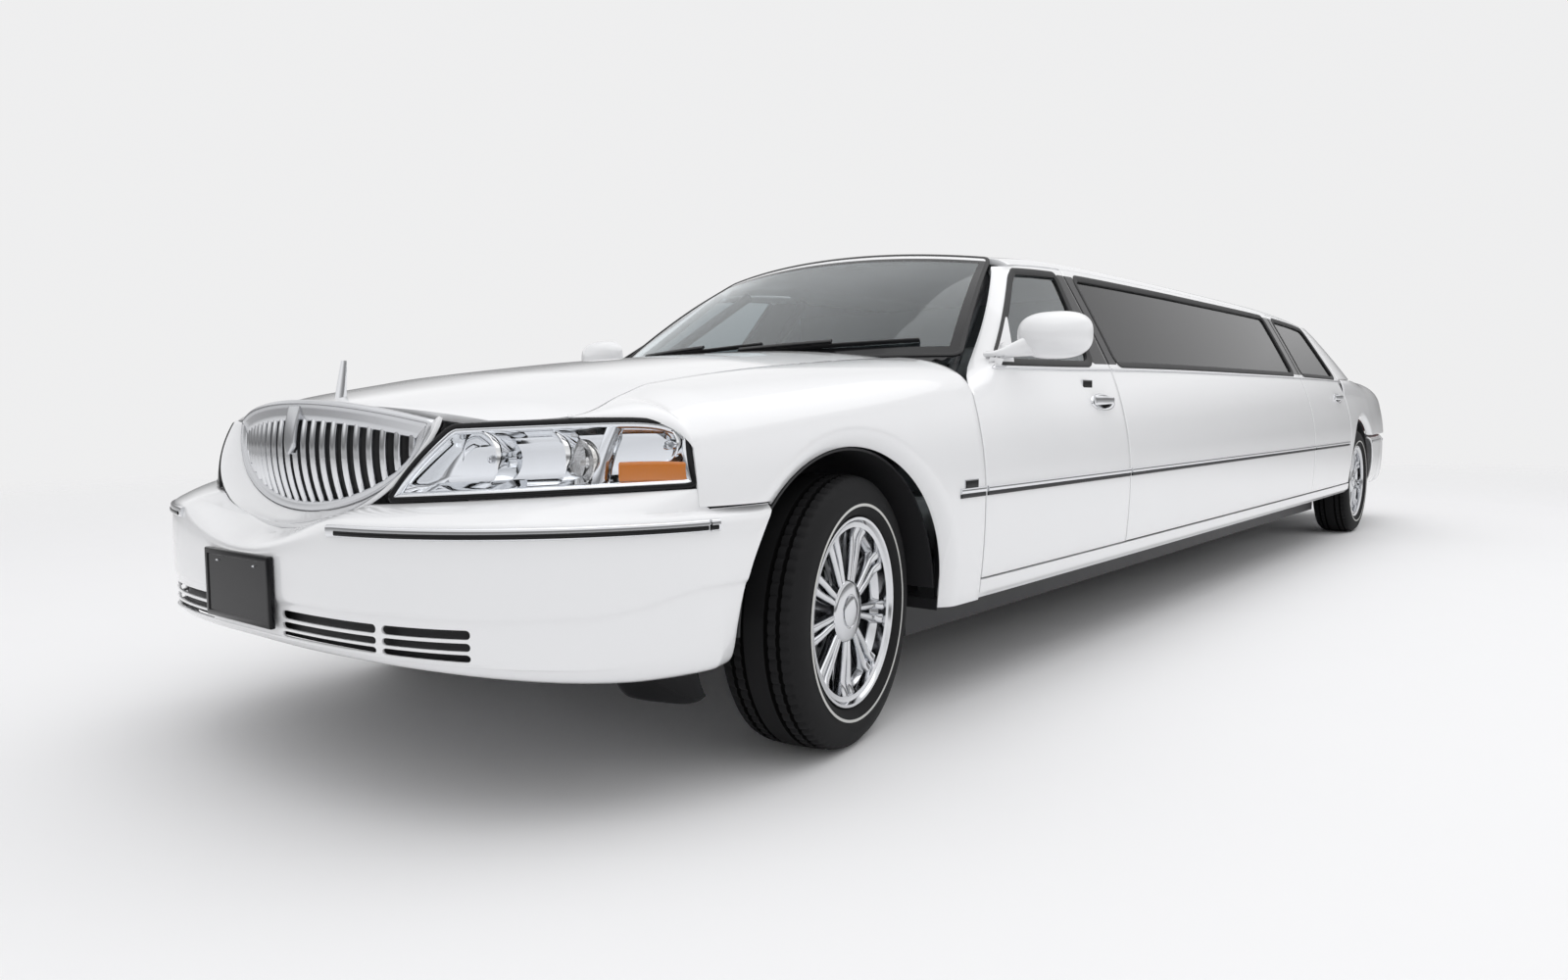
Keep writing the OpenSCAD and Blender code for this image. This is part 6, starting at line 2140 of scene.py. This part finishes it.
@dataclass(frozen=True)
class Studio:
    """Pale floor, soft light and the camera at the photograph's angle."""

    eye: Point = (2.478, -5.3515, 0.866)
    turn: float = 38.84
    pitch: float = -4.29
    roll: float = -0.37
    lens: float = 24.57
    pale: float = 0.86
    floor_size: float = 60.0

    def camera(self) -> None:
        """Camera at the photograph's place and angle."""
        a, p, roll = (math.radians(v) for v in (self.turn, self.pitch, self.roll))
        ahead = Vector((-math.sin(a) * math.cos(p), math.cos(a) * math.cos(p), math.sin(p)))
        right = ahead.cross(Vector((0, 0, 1))).normalized()
        up = right.cross(ahead)
        across = right * math.cos(roll) + up * math.sin(roll)
        above = up * math.cos(roll) - right * math.sin(roll)
        data = bpy.data.cameras.new("camera")
        data.lens, data.sensor_width = self.lens, 36.0
        obj = bpy.data.objects.new("camera", data)
        bpy.context.collection.objects.link(obj)
        turn = Matrix((across, above, -ahead)).transposed().to_4x4()
        obj.matrix_world = Matrix.Translation(self.eye) @ turn
        bpy.context.scene.camera = obj

    def ramp(self, tree: Tree, height: Socket, rows: Section) -> Socket:
        """Brightness over the height of a direction.

        Args:
            tree: Node tree of the world.
            height: Socket with the height from -1 to 1.
            rows: Pairs of height and brightness.

        Returns:
            The colour socket.
        """
        span = tree.nodes.new("ShaderNodeMapRange")
        span.inputs["From Min"].default_value = -1.0
        tree.links.new(height, span.inputs["Value"])
        node = tree.nodes.new("ShaderNodeValToRGB")
        points = node.color_ramp.elements
        while len(points) < len(rows):
            points.new(0.5)
        for point, (level, value) in zip(points, rows):
            point.position = (level + 1) / 2
            point.color = (value, value, value * 1.01, 1)
        tree.links.new(span.outputs["Result"], node.inputs["Fac"])
        return node.outputs["Color"]

    def world(self) -> None:
        """Plain pale surroundings for the camera, a soft studio for the light and the reflections."""
        world = bpy.data.worlds.new("studio")
        world.use_nodes = True
        tree = world.node_tree
        back = tree.nodes["Background"]
        place = tree.nodes.new("ShaderNodeTexCoord")
        split = tree.nodes.new("ShaderNodeSeparateXYZ")
        tree.links.new(place.outputs["Generated"], split.inputs["Vector"])
        height = split.outputs["Z"]
        light = self.ramp(tree, height, ((-1, 0.5), (0, 0.55), (0.25, 0.8), (0.7, 0.95), (1, 1.0)))
        shine = self.ramp(tree, height, ((-1, 0.3), (-0.02, 0.42), (0.03, 0.2), (0.12, 0.3), (0.24, 0.95), (0.5, 0.75),
                                         (0.75, 1.05), (1, 1.1)))
        rays = tree.nodes.new("ShaderNodeLightPath")
        glossy = tree.nodes.new("ShaderNodeMix")
        glossy.data_type = "RGBA"
        tree.links.new(rays.outputs["Is Glossy Ray"], glossy.inputs["Factor"])
        tree.links.new(light, glossy.inputs["A"])
        tree.links.new(shine, glossy.inputs["B"])
        seen = tree.nodes.new("ShaderNodeMix")
        seen.data_type = "RGBA"
        seen.inputs["B"].default_value = (self.pale, self.pale, self.pale * 1.005, 1)
        tree.links.new(rays.outputs["Is Camera Ray"], seen.inputs["Factor"])
        tree.links.new(glossy.outputs["Result"], seen.inputs["A"])
        tree.links.new(seen.outputs["Result"], back.inputs["Color"])
        bpy.context.scene.world = world

    def floor(self) -> None:
        """Pale floor that keeps the shadow and fades out far away."""
        deselect()
        bpy.ops.mesh.primitive_plane_add(size=self.floor_size)
        obj = bpy.context.object
        obj.name = obj.data.name = "studio_floor"
        material = bpy.data.materials.new("pale_floor")
        material.use_nodes = True
        tree = material.node_tree
        shader = tree.nodes["Principled BSDF"]
        shader.inputs["Roughness"].default_value = 0.7
        shader.inputs["Specular IOR Level"].default_value = 0.1
        detail = add_detail(tree, 60.0)
        link_tone(tree, shader, detail.outputs["Tone"], (0.88, 0.88, 0.885), 0.01)
        place = tree.nodes.new("ShaderNodeTexCoord")
        reach = tree.nodes.new("ShaderNodeVectorMath")
        reach.operation = "LENGTH"
        tree.links.new(place.outputs["Object"], reach.inputs[0])
        fade = tree.nodes.new("ShaderNodeMapRange")
        for socket, value in (("From Min", 6.0), ("From Max", 14.0), ("To Min", 1.0), ("To Max", 0.0)):
            fade.inputs[socket].default_value = value
        tree.links.new(reach.outputs["Value"], fade.inputs["Value"])
        tree.links.new(fade.outputs["Result"], shader.inputs["Alpha"])
        obj.data.materials.append(material)

    def light(self) -> None:
        """Large soft light above the car."""
        data = bpy.data.lights.new("soft_top", "AREA")
        data.shape, data.size, data.size_y, data.energy = "RECTANGLE", 6.0, 11.0, 120.0
        obj = bpy.data.objects.new("soft_top", data)
        obj.location = (1.5, -1.0, 6.0)
        obj.rotation_euler = (0.0, math.radians(14), 0.0)
        bpy.context.collection.objects.link(obj)

    def build(self) -> None:
        """Builds floor, light, surroundings and camera."""
        self.floor()
        self.light()
        self.world()
        self.camera()
        bpy.context.scene.view_settings.view_transform = "Standard"


def main() -> None:
    """Builds the car's pieces in order."""
    logging.basicConfig(level=logging.INFO, format="%(message)s")
    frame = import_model()
    FrontEnd().build()
    Cabin().build()
    RearEnd().build()
    steer = 10.0
    for name, side, axle, turn in (
        ("front_left", Side.LEFT, FRONT_AXLE, steer), ("front_right", Side.RIGHT, FRONT_AXLE, steer),
        ("rear_left", Side.LEFT, REAR_AXLE, 0.0), ("rear_right", Side.RIGHT, REAR_AXLE, 0.0),
    ):
        Wheel(name, side, axle, turn).build()
    Interior().build()
    Underbody().build(frame["nodes"])
    Studio().build()
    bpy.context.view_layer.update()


if __name__ == "__main__":
    main()
